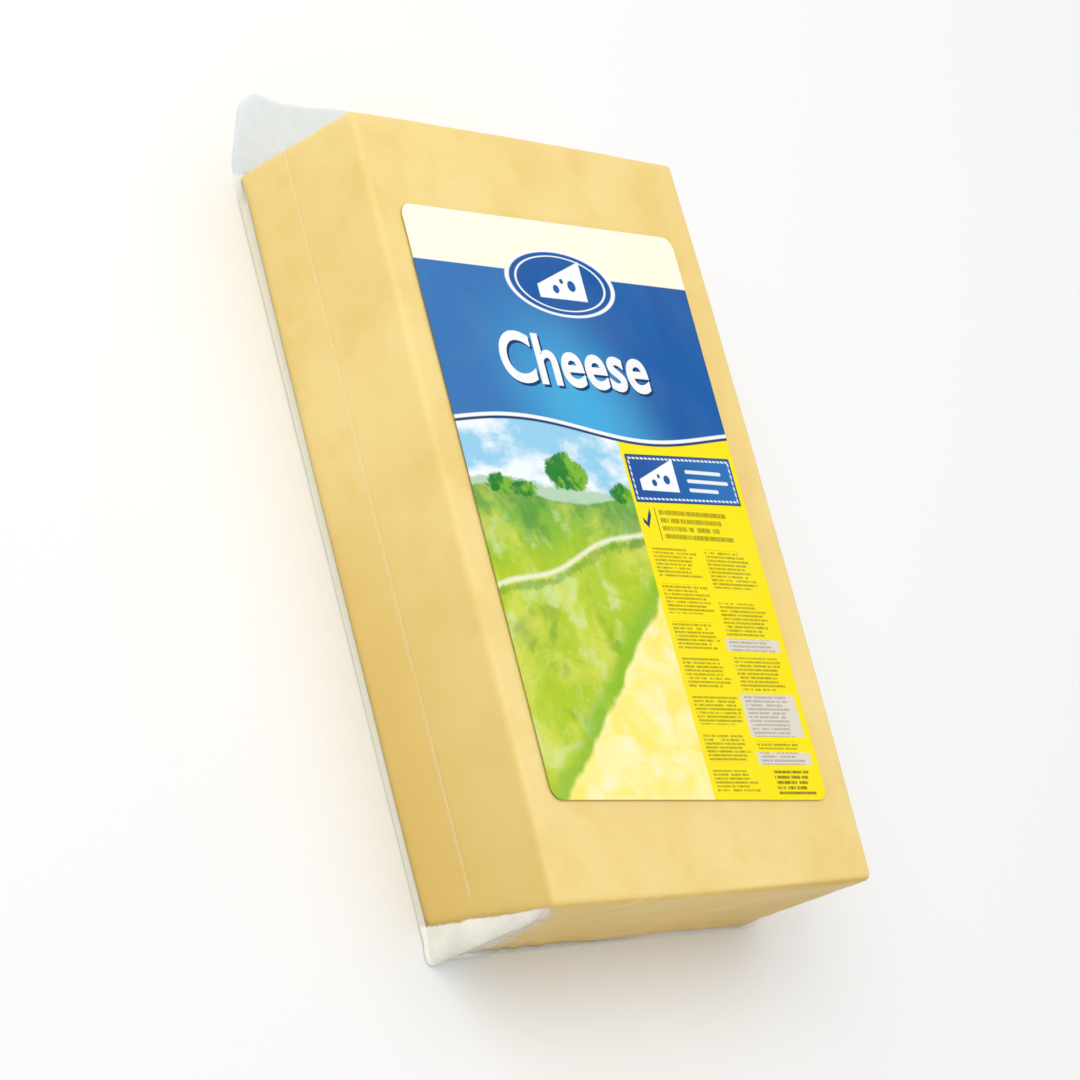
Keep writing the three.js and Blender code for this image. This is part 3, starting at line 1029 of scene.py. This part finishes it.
    def text_rows(self, sketch: Sketch, x: Number, y: Number, pitch: float, seed: float,
                  width: float) -> Socket:
        """Return a mask of short strokes that reads as rows of small print and says nothing.

        Args:
            sketch: The tree to draw in.
            x: Millimetres from the column's left edge.
            y: Millimetres up the label.
            pitch: Height of a row.
            seed: Number that makes each column differ.
            width: Width of the column.

        Returns:
            The mask.
        """
        rows = sketch.math("DIVIDE", y, pitch)
        row = sketch.math("FLOOR", rows)
        level = sketch.absolute(sketch.minus(sketch.math("FRACT", rows), 0.5))
        strip = sketch.rise(level, 0.36, 0.22)
        shift = sketch.plus(sketch.times(row, 7.31), seed)
        strokes = sketch.noise(sketch.point(sketch.times(x, 2.4), shift), 1.0, 1.0)
        words = sketch.noise(sketch.point(sketch.times(x, 0.5), shift, 4.0), 1.0, 0.0)
        chance = sketch.node("ShaderNodeTexWhiteNoise", noise_dimensions="1D")
        sketch.feed(chance.inputs["W"], shift)
        ending = sketch.minus(width, sketch.times(chance.outputs[0], 0.3 * width))
        within = sketch.times(sketch.rise(x, -0.1, 0.1), sketch.inside(sketch.minus(x, ending), 0.2))
        return sketch.times(strip, sketch.rise(strokes, 0.34, 0.5), sketch.rise(words, 0.27, 0.32), within)

    def paragraphs(self, sketch: Sketch, y: Number, spans: Iterable[tuple[float, float]]) -> Number:
        """Return a mask of the spans in which a column has text."""
        body: Number = 0.0
        for foot, head in spans:
            body = sketch.plus(body, sketch.between(y, foot, head))
        return body

    def info_panel(self, sketch: Sketch, place: Number, x: Number, y: Number, under: Socket) -> Socket:
        """Lay the yellow panel with its badge, tick and small print over the picture."""
        yellow = sketch.mix(sketch.noise(place, 0.05, 2.0), Ink.YELLOW.value, Ink.YELLOW_DEEP.value)
        left = self.text_rows(sketch, sketch.minus(x, 12.5), y, 1.45, 1.7, 26.5)
        right = self.text_rows(sketch, sketch.minus(x, 42.0), y, 1.5, 9.2, 27.5)
        heading = self.text_rows(sketch, sketch.minus(x, 22.0), sketch.plus(y, 0.7), 3.1, 4.4, 40.0)
        imprint = self.text_rows(sketch, sketch.minus(x, 47.0), y, 2.0, 6.1, 22.0)
        ink: Number = 0.0
        for rows, spans, strength in (
            (left, self.left_text, 0.62),
            (right, self.right_text, 0.62),
            (heading, ((-13.1, -0.7),), 0.66),
            (imprint, ((-109.5, -100.5),), 0.85),
        ):
            column = sketch.times(rows, self.paragraphs(sketch, y, spans), strength)
            ink = sketch.plus(ink, column, clamp=True)
        colour = sketch.mix(ink, yellow, Ink.TEXT.value)
        for foot, head in self.grey_boxes:
            shape = self.box(sketch, x, y, (55.5, (head + foot) / 2.0), (15.5, (head - foot) / 2.0), 0.2)
            grey = sketch.mix(sketch.times(right, 0.5), Ink.GREY.value, Ink.GREY_TEXT.value)
            colour = sketch.mix(sketch.inside(shape, 0.2), colour, grey)
        colour = self.tick(sketch, x, y, colour)
        colour = self.badge(sketch, x, y, colour)
        bar = self.box(sketch, x, y, (20.0, -6.9), (0.2, 6.4), 0.0)
        colour = sketch.mix(sketch.inside(bar, 0.15), colour, Ink.TEXT.value)
        return sketch.mix(sketch.inside(sketch.minus(self.panel_left, x), 0.2), under, colour)

    def tick(self, sketch: Sketch, x: Number, y: Number, under: Socket) -> Socket:
        """Lay a plain tick over a colour."""
        across, above = sketch.minus(x, 14.2), sketch.minus(y, -7.4)
        long = sketch.minus(above, sketch.times(across, 1.7))
        long = sketch.minus(sketch.absolute(long), 1.5)
        long = sketch.times(sketch.inside(long, 0.3), sketch.rise(x, 14.0, 14.4), sketch.rise(x, 17.4, 17.0))
        short = sketch.plus(above, sketch.times(across, 0.9))
        short = sketch.minus(sketch.absolute(short), 1.0)
        short = sketch.times(sketch.inside(short, 0.3), sketch.rise(x, 12.0, 12.4), sketch.rise(x, 14.9, 14.5))
        return sketch.mix(sketch.math("MAXIMUM", long, short), under, Ink.NAVY.value)

    def badge(self, sketch: Sketch, x: Number, y: Number, under: Socket) -> Socket:
        """Lay a blue badge with a stitched border and a small wedge over a colour."""
        lean = sketch.plus(y, sketch.times(sketch.minus(x, 41.0), -0.02))
        outline = self.box(sketch, x, lean, (41.6, 11.2), (30.4, 9.4), 0.6)
        fill = sketch.mix(sketch.rise(x, 15.0, 68.0), Ink.BADGE_DARK.value, Ink.BADGE_LIGHT.value)
        colour = sketch.mix(sketch.inside(outline, 0.2), under, Ink.NAVY.value)
        colour = sketch.mix(sketch.inside(sketch.plus(outline, 0.5), 0.2), colour, fill)
        ring = sketch.minus(sketch.absolute(sketch.plus(outline, 1.5)), 0.35)
        dash = sketch.math("FRACT", sketch.times(sketch.plus(x, y), 0.42))
        dash = sketch.times(sketch.rise(dash, 0.1, 0.2), sketch.rise(dash, 0.85, 0.75))
        colour = sketch.mix(sketch.times(sketch.inside(ring, 0.2), dash), colour, Ink.WHITE.value)
        colour = sketch.mix(self.wedge(sketch, x, y, (27.0, 11.0), 10.5), colour, Ink.WHITE.value)
        for level, length in ((14.6, 10.5), (11.0, 12.0), (7.4, 8.5)):
            rule = self.box(sketch, x, y, (43.5 + length, level), (length, 0.7), 0.7)
            colour = sketch.mix(sketch.times(sketch.inside(rule, 0.2), 0.9), colour, Ink.WHITE.value)
        return colour

    def plaque(self, sketch: Sketch, x: Number, y: Number, under: Socket) -> Socket:
        """Lay a plain oval plaque with a wedge of cheese over the edge of the cream band."""
        outline = self.oval(sketch, x, y, (1.5, 86.5), (30.0, 13.5))
        colour = sketch.mix(sketch.inside(outline, 0.2), under, Ink.WHITE.value)
        colour = sketch.mix(sketch.inside(sketch.plus(outline, 1.0), 0.2), colour, Ink.DEEP_BLUE.value)
        ring = sketch.minus(sketch.absolute(sketch.plus(outline, 2.6)), 0.25)
        colour = sketch.mix(sketch.inside(ring, 0.15), colour, Ink.WHITE.value)
        return sketch.mix(self.wedge(sketch, x, y, (1.5, 86.2), 13.0), colour, Ink.WHITE.value)


# ---------------------------------------------------------------- pieces


@dataclass
class Loaf:
    """The block of cheese itself."""

    shape: PackShape
    finish: CheeseFinish = field(default_factory=CheeseFinish)
    pitch: float = 3.2 * MM

    def build(self) -> Piece:
        """Model the loaf and give it its finish.

        Returns:
            The finished piece.
        """
        shape = self.shape
        reach = Vector((shape.half_width, shape.half_length, 0.0))
        low, high = shape.centre - reach, shape.centre + reach
        low.z, high.z = shape.low.z, shape.high.z
        piece = start_block("cheese_loaf", low, high)
        bpy.ops.object.mode_set(mode="EDIT")
        pick(piece, "EDGE", lambda edge: abs(edge.verts[0].co.z - edge.verts[1].co.z) > 10.0 * MM)
        bpy.ops.mesh.bevel(offset=shape.corner, segments=7, affect="EDGES")
        for level, radius, steps in ((low.z, shape.back_edge, 3), (high.z, shape.edge, 7)):
            pick(piece, "EDGE", lambda edge, z=level: all(abs(v.co.z - z) < 1e-5 for v in edge.verts))
            bpy.ops.mesh.bevel(offset=radius, segments=steps, affect="EDGES")
        slice_across(0, spaced(low.x, high.x, self.pitch))
        slice_across(1, spaced(low.y, high.y, self.pitch))
        slice_across(2, spaced(low.z + shape.back_edge, high.z - shape.edge, self.pitch))
        bpy.ops.object.mode_set(mode="OBJECT")
        move_points(piece, lambda place, normal: shape.skin(shape.corner_pull(place), normal))
        smooth(piece, 40.0)
        piece.data.materials.append(self.finish.build(shape))
        finish_piece(piece, "cheese_block")
        return piece


@dataclass
class FilmBag:
    """The front film, drawn over the loaf and out into its rim, and the flat back film."""

    shape: PackShape
    finish: FilmFinish = field(default_factory=FilmFinish)
    pitch: float = 2.6 * MM
    standoff: float = 0.45 * MM
    flap_taper: float = 14.0 * MM
    lobe_height: float = 1.9 * MM
    lobe_inset: float = 9.0 * MM
    bulge_height: float = 1.6 * MM
    bulge_place: float = -28.0 * MM
    bulge_width: float = 13.0 * MM
    rim_corner: float = 8.0 * MM
    foot_taper: float = 1.4 * MM
    foot_corner: float = 14.0 * MM
    ear_span: float = 11.0 * MM
    left_ear: float = 2.6 * MM
    right_ear: float = 1.0 * MM
    wrinkle_height: float = 0.5 * MM
    crease_height: float = 0.3 * MM
    rim_rings: int = 12
    rim_level: float = 0.55 * MM
    flap_depth: float = 32.0 * MM
    curl: float = 0.6 * MM
    curl_slope: float = 0.15
    back_pitch: float = 4.0 * MM
    back_level: float = 0.14 * MM
    dimple_height: float = 0.12 * MM
    dimple_span: float = 22.0 * MM

    def outline(self) -> list[Vector]:
        """Return the rim's outline, anticlockwise, with rounded corners and lobed flap corners."""
        low, high = (Vector(corner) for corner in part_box("bag_front_panel"))
        root = self.shape.high.y + 0.6 * MM
        corners = [
            Vector((high.x - self.foot_taper, low.y, 0.0)),
            Vector((high.x, root, 0.0)),
            Vector((high.x - self.flap_taper, high.y, 0.0)),
            Vector((low.x + self.flap_taper, high.y, 0.0)),
            Vector((low.x, root, 0.0)),
            Vector((low.x + self.foot_taper, low.y, 0.0)),
        ]
        points: list[Vector] = []
        for index, corner in enumerate(corners):
            before, after = corners[index - 1], corners[(index + 1) % len(corners)]
            round_by = self.foot_corner if index == 0 else self.rim_corner
            into = corner + (before - corner).normalized() * round_by
            away = corner + (after - corner).normalized() * round_by
            for step in range(9):
                share = step / 8.0
                bend = into.lerp(corner, share).lerp(corner.lerp(away, share), share)
                points.append(bend)
            if index == 2:
                far = Vector((2.0 * self.shape.centre.x - away.x, away.y, 0.0))
                points += [away.lerp(far, step / 60.0) for step in range(1, 60)]
        return [self.lobed(point) for point in points]

    def lobed(self, point: Vector) -> Vector:
        """Raise the flap's free edge into a rounded lobe at each corner and a low bulge between them."""
        high = Vector(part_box("bag_front_panel")[1])
        if point.y < high.y - 12.0 * MM:
            return point
        away = (abs(point.x) - (high.x - self.flap_taper - self.lobe_inset)) / (6.0 * MM)
        share = smoothstep(high.y - 12.0 * MM, high.y, point.y)
        bulge = (point.x - self.bulge_place) / self.bulge_width
        lift = self.lobe_height * math.exp(-away * away) + self.bulge_height * math.exp(-bulge * bulge)
        return point + Vector((0.0, share * lift, 0.0))

    def reach(self, start: Vector, direction: Vector, outline: list[Vector]) -> float:
        """Return how far a place is from the rim's outline along a direction.

        Args:
            start: The place.
            direction: Unit direction in the plane.
            outline: Outline as from outline().

        Returns:
            The distance, or 4 mm where the direction misses the outline.
        """
        best = None
        for index, first in enumerate(outline):
            side = outline[(index + 1) % len(outline)] - first
            turn = direction.x * side.y - direction.y * side.x
            if abs(turn) < 1e-12:
                continue
            gap = first - start
            away = (gap.x * side.y - gap.y * side.x) / turn
            share = (gap.x * direction.y - gap.y * direction.x) / turn
            if away > 0.0 and -1e-9 <= share <= 1.0 + 1e-9:
                best = away if best is None else min(best, away)
        return 4.0 * MM if best is None else best

    def flap_lift(self, place: Vector) -> float:
        """Return how high the rim stands above the floor at a place, as spare film curls and waves."""
        shape = self.shape
        beyond = place.y - (shape.high.y + 1.0 * MM)
        if beyond <= 0.0:
            ripple = 0.5 + 0.5 * noise.noise(Vector((place.x / (9.0 * MM), place.y / (9.0 * MM), 4.0)))
            side = shape.half_width + shape.side_lean
            outward = max(abs(place.x) - side, shape.low.y - place.y, 0.0)
            return ripple * min(outward * self.curl_slope, self.curl)
        share = min(beyond / self.flap_depth, 1.0)
        wave = 0.5 + 0.5 * math.sin(place.x / (19.0 * MM) + 1.3 * math.sin(place.x / (31.0 * MM)))
        crinkle = 0.5 + 0.5 * noise.noise(Vector((place.x / (15.0 * MM), place.y / (12.0 * MM), 9.0)))
        lobe = smoothstep(0.7, 0.95, abs(place.x) / shape.half_width) * share * share
        return share * (0.35 * wave + 0.35 * crinkle + 0.9 * lobe) * MM

    def build_front(self) -> Piece:
        """Model the front film as one thin sheet.

        Returns:
            The finished piece.
        """
        shape = self.shape
        gap = self.standoff
        reach = Vector((shape.half_width + gap, shape.half_length + gap, 0.0))
        low, high = shape.centre - reach, shape.centre + reach
        low.z, high.z = self.rim_level, shape.high.z + gap
        piece = start_block("film_front", low, high)
        bpy.ops.object.mode_set(mode="EDIT")
        pick(piece, "EDGE", lambda edge: abs(edge.verts[0].co.z - edge.verts[1].co.z) > 10.0 * MM)
        bpy.ops.mesh.bevel(offset=shape.corner + gap, segments=8, affect="EDGES")
        pick(piece, "EDGE", lambda edge: all(abs(v.co.z - high.z) < 1e-5 for v in edge.verts))
        bpy.ops.mesh.bevel(offset=shape.edge + gap, segments=6, affect="EDGES")
        pick(piece, "FACE", lambda face: face.normal.z < -0.9)
        bpy.ops.mesh.delete(type="ONLY_FACE")
        slice_across(0, spaced(low.x, high.x, self.pitch))
        slice_across(1, spaced(low.y, high.y, self.pitch))
        slice_across(2, spaced(low.z, high.z - shape.edge - gap, self.pitch))
        ridge = shape.ridge_height
        slice_across(2, [ridge + step * MM for step in (-1.0, -0.4, 0.0, 0.4, 1.0)])
        bpy.ops.object.mode_set(mode="OBJECT")
        move_points(piece, lambda place, normal: shape.corner_pull(place, gap) if place.x > shape.centre.x else place)
        bpy.ops.object.mode_set(mode="EDIT")
        self.extrude_rim(piece)
        bpy.ops.object.mode_set(mode="OBJECT")
        self.form_front(piece, low.z)
        smooth(piece, 50.0)
        piece.data.materials.append(self.finish.build(shape))
        finish_piece(piece, "bag_front_panel")
        return piece

    def extrude_rim(self, piece: Piece) -> None:
        """Extrude the open foot of the film outwards into rings, and mark how far out each one is.

        Args:
            piece: The film, in edit mode.
        """
        cage = bmesh.from_edit_mesh(piece.data)
        cage.verts.layers.float.new("free")
        outline = self.outline()
        pick(piece, "EDGE", lambda edge: edge.is_boundary)
        cage = bmesh.from_edit_mesh(piece.data)
        paths: dict[int, tuple[Vector, Vector, float]] = {}
        for vertex in cage.verts:
            if not vertex.select:
                continue
            outward = Vector((0.0, 0.0, 0.0))
            for edge in vertex.link_edges:
                if edge.is_boundary:
                    along = (edge.verts[1].co - edge.verts[0].co).normalized()
                    side = Vector((along.y, -along.x, 0.0))
                    if side.dot(vertex.co - self.shape.centre) < 0.0:
                        side = -side
                    outward += side
            outward.z = 0.0
            outward.normalize()
            paths[vertex.index] = (vertex.co.copy(), outward, self.reach(vertex.co, outward, outline))
        starts = list(paths.values())
        for ring in range(1, self.rim_rings + 1):
            bpy.ops.mesh.extrude_edges_move(MESH_OT_extrude_edges_indiv={},
                                            TRANSFORM_OT_translate={"value": (0.0, 0.0, 0.0)})
            cage = bmesh.from_edit_mesh(piece.data)
            layer = cage.verts.layers.float["free"]
            last, share = (ring - 1) / self.rim_rings, ring / self.rim_rings
            for vertex in cage.verts:
                if not vertex.select:
                    continue
                start, outward, length = min(
                    starts, key=lambda path: (path[0] + path[1] * path[2] * last - vertex.co).length_squared)
                vertex.co = start + outward * length * share
                vertex[layer] = share
            bmesh.update_edit_mesh(piece.data)

    def form_front(self, piece: Piece, level: float) -> None:
        """Shape the film's skin, ridge and rim.

        Args:
            piece: The film, in object mode.
            level: Height of its foot.
        """
        shape = self.shape
        free = [item.value for item in piece.data.attributes["free"].data]
        places = []
        for index, vertex in enumerate(piece.data.vertices):
            place, normal = vertex.co.copy(), vertex.normal.copy()
            if free[index] > 0.0:
                lift = self.flap_lift(place)
                fade = 1.0 - free[index]
                swollen = shape.bowed(place)
                moved = place.lerp(swollen, fade)
                moved.z = level + lift
                places.append((vertex, moved))
                continue
            hold = smoothstep(level, level + 6.0 * MM, place.z)
            side = normal - Vector((0.0, 0.0, normal.z)) * (1.0 - hold)
            moved = shape.skin(place, side)
            if place.x < shape.centre.x - shape.half_width:
                near = abs(place.z - shape.ridge_height) / MM
                ending = smoothstep(shape.low.y + 9.0 * MM, shape.low.y + 16.0 * MM, place.y)
                moved.x -= self.crease_height * ending * smoothstep(0.9, 0.0, near)
            places.append((vertex, moved + self.corner_ear(place)))
        for vertex, moved in places:
            vertex.co = moved
        piece.data.update()
        for item in piece.data.attributes["free"].data:
            item.value = 1.0 if item.value > 0.0 else 0.0

    def corner_ear(self, place: Vector) -> Vector:
        """Return how spare film stands out at the foot's upright corners, most of all near the rim."""
        shape = self.shape
        x, y = place.x - shape.centre.x, place.y - shape.centre.y
        if y > 0.0:
            return Vector((0.0, 0.0, 0.0))
        near = (smoothstep(shape.half_width - self.ear_span, shape.half_width, abs(x))
                * smoothstep(shape.half_length - self.ear_span, shape.half_length, abs(y)))
        drop = 1.0 - shape.height_share(place.z)
        wrinkle = noise.noise(Vector((x / (4.0 * MM), y / (4.0 * MM), place.z / (30.0 * MM))))
        spread = self.left_ear if x < 0.0 else self.right_ear
        size = near * (spread * drop * drop + self.wrinkle_height * wrinkle * drop)
        return Vector((math.copysign(size, x), math.copysign(size, y), 0.0))

    def build_back(self, front: Piece) -> Piece:
        """Model the back film as a flat sheet within the rim's outline.

        Args:
            front: The finished front film, whose material the back film shares.

        Returns:
            The finished piece.
        """
        shape = self.shape
        outline = self.outline()
        deselect_all()
        bpy.ops.mesh.primitive_circle_add(vertices=len(outline), radius=0.1, fill_type="NGON", location=(0.0, 0.0, 0.0))
        piece = bpy.context.object
        piece.name = "film_back"
        piece.data.name = "film_back"
        for vertex, point in zip(piece.data.vertices, outline):
            vertex.co = point
        bpy.ops.object.mode_set(mode="EDIT")
        low = [min(point[axis] for point in outline) for axis in range(2)]
        high = [max(point[axis] for point in outline) for axis in range(2)]
        for axis in range(2):
            slice_across(axis, spaced(low[axis], high[axis], self.back_pitch))
        bpy.ops.object.mode_set(mode="OBJECT")
        if sum(face.normal.z for face in piece.data.polygons) < 0.0:
            piece.data.flip_normals()

        def settle(place: Vector, normal: Vector) -> Vector:
            """Lay a place on the floor, or lift it with the rim that it is sealed to."""
            inset_x = shape.high.x - abs(place.x)
            inset_y = min(shape.high.y - place.y, place.y - shape.low.y)
            inset = min(inset_x, inset_y)
            dimple = 0.5 + 0.5 * noise.noise(place / self.dimple_span)
            lift = self.flap_lift(place)
            if inset > 0.0:
                lift = self.dimple_height * dimple * smoothstep(0.0, 12.0 * MM, inset)
            return Vector((place.x, place.y, self.back_level + lift))

        move_points(piece, settle)
        free = piece.data.attributes.new("free", "FLOAT", "POINT")
        for item, vertex in zip(free.data, piece.data.vertices):
            outside = abs(vertex.co.x) > shape.high.x or not shape.low.y <= vertex.co.y <= shape.high.y
            item.value = 1.0 if outside else 0.0
        smooth(piece, 50.0)
        piece.data.materials.append(front.data.materials[0])
        finish_piece(piece, "bag_back_panel")
        return piece


@dataclass
class Label:
    """The printed label on the front film, with its raised white word."""

    shape: PackShape
    finish: LabelFinish = field(default_factory=LabelFinish)
    width: float = 149.0 * MM
    length: float = 223.0 * MM
    corner: float = 5.0 * MM
    thickness: float = 0.12 * MM
    pitch: float = 4.0 * MM
    word: str = "Cheese"
    word_middle: tuple[float, float] = (-2.5 * MM, 55.0 * MM)
    word_size: tuple[float, float] = (80.0 * MM, 20.5 * MM)
    word_boldness: float = 0.022
    word_rise: float = 0.1 * MM
    shade_rise: float = 0.05 * MM
    shade_shift: float = 1.0 * MM
    sink: float = 0.32 * MM
    float_height: float = 0.12 * MM
    crease_height: float = 0.1 * MM
    creases: tuple[tuple[float, float, float], ...] = ((4.0, -0.12, 5.0), (-46.0, 0.5, 4.0))

    @property
    def level(self) -> float:
        """Return the height of the label's underside."""
        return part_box("label")[0][2] - self.sink

    def lie(self, place: Vector, normal: Vector) -> Vector:
        """Settle a place of the label on to the uneven film, with two long shallow creases."""
        place = self.shape.askew(place)
        x, y = place.x - self.shape.centre.x, place.y - self.shape.centre.y
        lift = self.shape.uneven(Vector((place.x, place.y, self.shape.high.z)))
        for offset, slope, width in self.creases:
            away = (x - offset * MM - slope * (y - 50.0 * MM)) / (width * MM)
            lift += self.crease_height * math.exp(-away * away) * smoothstep(10.0 * MM, 40.0 * MM, y)
        return place + Vector((0.0, 0.0, lift + self.float_height))

    def slice_finely(self, low: Vector, high: Vector) -> None:
        """Cut the piece in edit mode on the label's own lattice."""
        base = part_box("label")
        for axis in (0, 1):
            lines = spaced(base[0][axis], base[1][axis], self.pitch)
            slice_across(axis, [line for line in lines if low[axis] < line < high[axis]])

    def build_sheet(self) -> Piece:
        """Model the label's sheet.

        Returns:
            The finished piece.
        """
        reach = Vector((self.width / 2.0, self.length / 2.0, 0.0))
        low, high = self.shape.label_middle - reach, self.shape.label_middle + reach
        low.z, high.z = self.level, self.level + self.thickness
        piece = start_block("label_sheet", low, high)
        bpy.ops.object.mode_set(mode="EDIT")
        pick(piece, "EDGE", lambda edge: (edge.verts[0].co - edge.verts[1].co).length < 1.0 * MM)
        bpy.ops.mesh.bevel(offset=self.corner, segments=10, affect="EDGES")
        self.slice_finely(low, high)
        bpy.ops.object.mode_set(mode="OBJECT")
        move_points(piece, self.lie)
        smooth(piece, 35.0)
        piece.data.materials.append(self.finish.build(self.shape))
        finish_piece(piece, "label")
        return piece

    def build_word(self, name: str, ink: InkFinish, shift: tuple[float, float], rise: float) -> Piece:
        """Model the word as thin raised print.

        Args:
            name: The piece's name.
            ink: Finish of the print.
            shift: How far it is moved across and up the label.
            rise: Height of its top above the label's.

        Returns:
            The finished piece.
        """
        deselect_all()
        bpy.ops.object.text_add(location=(0.0, 0.0, 0.0))
        piece = bpy.context.object
        piece.data.body = self.word
        piece.data.extrude = 0.5
        piece.data.offset = self.word_boldness
        piece.data.resolution_u = 8
        bpy.ops.object.convert(target="MESH")
        piece = bpy.context.object
        piece.name = name
        piece.data.name = name
        low = [min(vertex.co[axis] for vertex in piece.data.vertices) for axis in range(3)]
        high = [max(vertex.co[axis] for vertex in piece.data.vertices) for axis in range(3)]
        middle = Vector([(low[axis] + high[axis]) / 2.0 for axis in range(3)])
        scale = Matrix.Diagonal((self.word_size[0] / (high[0] - low[0]), self.word_size[1] / (high[1] - low[1]),
                                 rise / (high[2] - low[2]), 1.0))
        target = self.shape.label_middle + Vector((self.word_middle[0] + shift[0], self.word_middle[1] + shift[1], 0.0))
        target.z = self.level + self.thickness + rise / 2.0
        piece.data.transform(Matrix.Translation(target) @ scale @ Matrix.Translation(-middle))
        bpy.ops.object.mode_set(mode="EDIT")
        bpy.ops.mesh.select_all(action="SELECT")
        bpy.ops.mesh.remove_doubles(threshold=1e-6)
        self.slice_finely(Vector(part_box("label")[0]), Vector(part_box("label")[1]))
        bpy.ops.mesh.select_all(action="SELECT")
        bpy.ops.mesh.normals_make_consistent(inside=False)
        bpy.ops.object.mode_set(mode="OBJECT")
        move_points(piece, self.lie)
        piece.data.materials.clear()
        piece.data.materials.append(ink.build(self.shape))
        finish_piece(piece)
        return piece

    def build(self) -> list[Piece]:
        """Model the sheet, the word and the dark edge behind the word."""
        white = InkFinish("ink_white", Ink.WHITE)
        navy = InkFinish("ink_navy", Ink.NAVY)
        return [
            self.build_sheet(),
            self.build_word("label_word_shade", navy, (self.shade_shift, -self.shade_shift), self.shade_rise),
            self.build_word("label_word", white, (0.0, 0.0), self.word_rise),
        ]


# ---------------------------------------------------------------- studio


@dataclass(frozen=True)
class Lamp:
    """A soft square light that faces the loaf."""

    name: str
    place: tuple[float, float, float]
    size: float
    watts: float


@dataclass
class Studio:
    """Floor, lights and camera."""

    shape: PackShape
    lamps: tuple[Lamp, ...] = (
        Lamp("key", (-1.0, 0.6, 1.3), 1.5, 12.5),
        Lamp("overhead", (0.5, 0.3, 1.7), 1.6, 8.5),
    )
    eye: Vector = field(default_factory=lambda: Vector((-0.8918, -0.3013, 0.7581)))
    look: Vector = field(default_factory=lambda: Vector((0.744, 0.252, -0.618)))
    up: Vector = field(default_factory=lambda: Vector((-0.025, 0.936, 0.352)))
    lens: float = 109.3
    world_level: float = 0.58

    def build_floor(self) -> None:
        """Lay a plain pale floor."""
        deselect_all()
        bpy.ops.mesh.primitive_plane_add(size=14.0, location=(0.0, 0.0, 0.0))
        floor = bpy.context.object
        floor.name = "floor"
        floor.data.materials.append(FloorFinish().build())

    def build_lights(self) -> None:
        """Light the loaf softly from the left, from above and from all around."""
        for lamp in self.lamps:
            place = Vector(lamp.place)
            deselect_all()
            bpy.ops.object.light_add(type="AREA", location=place)
            light = bpy.context.object
            light.name = lamp.name
            light.data.size = lamp.size
            light.data.energy = lamp.watts
            light.rotation_euler = (self.shape.centre - place).to_track_quat("-Z", "Y").to_euler()
        world = bpy.data.worlds.new("studio")
        world.use_nodes = True
        background = world.node_tree.nodes["Background"]
        background.inputs["Color"].default_value = (1.0, 1.0, 1.0, 1.0)
        background.inputs["Strength"].default_value = self.world_level
        bpy.context.scene.world = world

    def build_camera(self) -> None:
        """Stand the camera above the foot end, to the left of the label."""
        look = self.look.normalized()
        up = (self.up - look * self.up.dot(look)).normalized()
        right = look.cross(up)
        turn = Matrix((right, up, -look)).transposed().to_4x4()
        deselect_all()
        bpy.ops.object.camera_add()
        camera = bpy.context.object
        camera.name = "camera"
        camera.matrix_world = Matrix.Translation(self.shape.centre + self.eye) @ turn
        camera.data.lens = self.lens
        camera.data.sensor_width = 36.0
        camera.data.clip_start = 0.05
        camera.data.clip_end = 50.0
        bpy.context.scene.camera = camera

    def build(self) -> None:
        """Set up the whole studio."""
        self.build_floor()
        self.build_lights()
        self.build_camera()
        view = bpy.context.scene.view_settings
        view.view_transform = "Standard"
        view.look = "None"


def main() -> None:
    """Build every piece in order."""
    logging.basicConfig(level=logging.INFO, format="%(message)s")
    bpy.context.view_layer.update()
    shape = PackShape()
    Studio(shape).build()
    Loaf(shape).build()
    bag = FilmBag(shape)
    bag.build_back(bag.build_front())
    Label(shape).build()
    deselect_all()


if __name__ == "__main__":
    main()
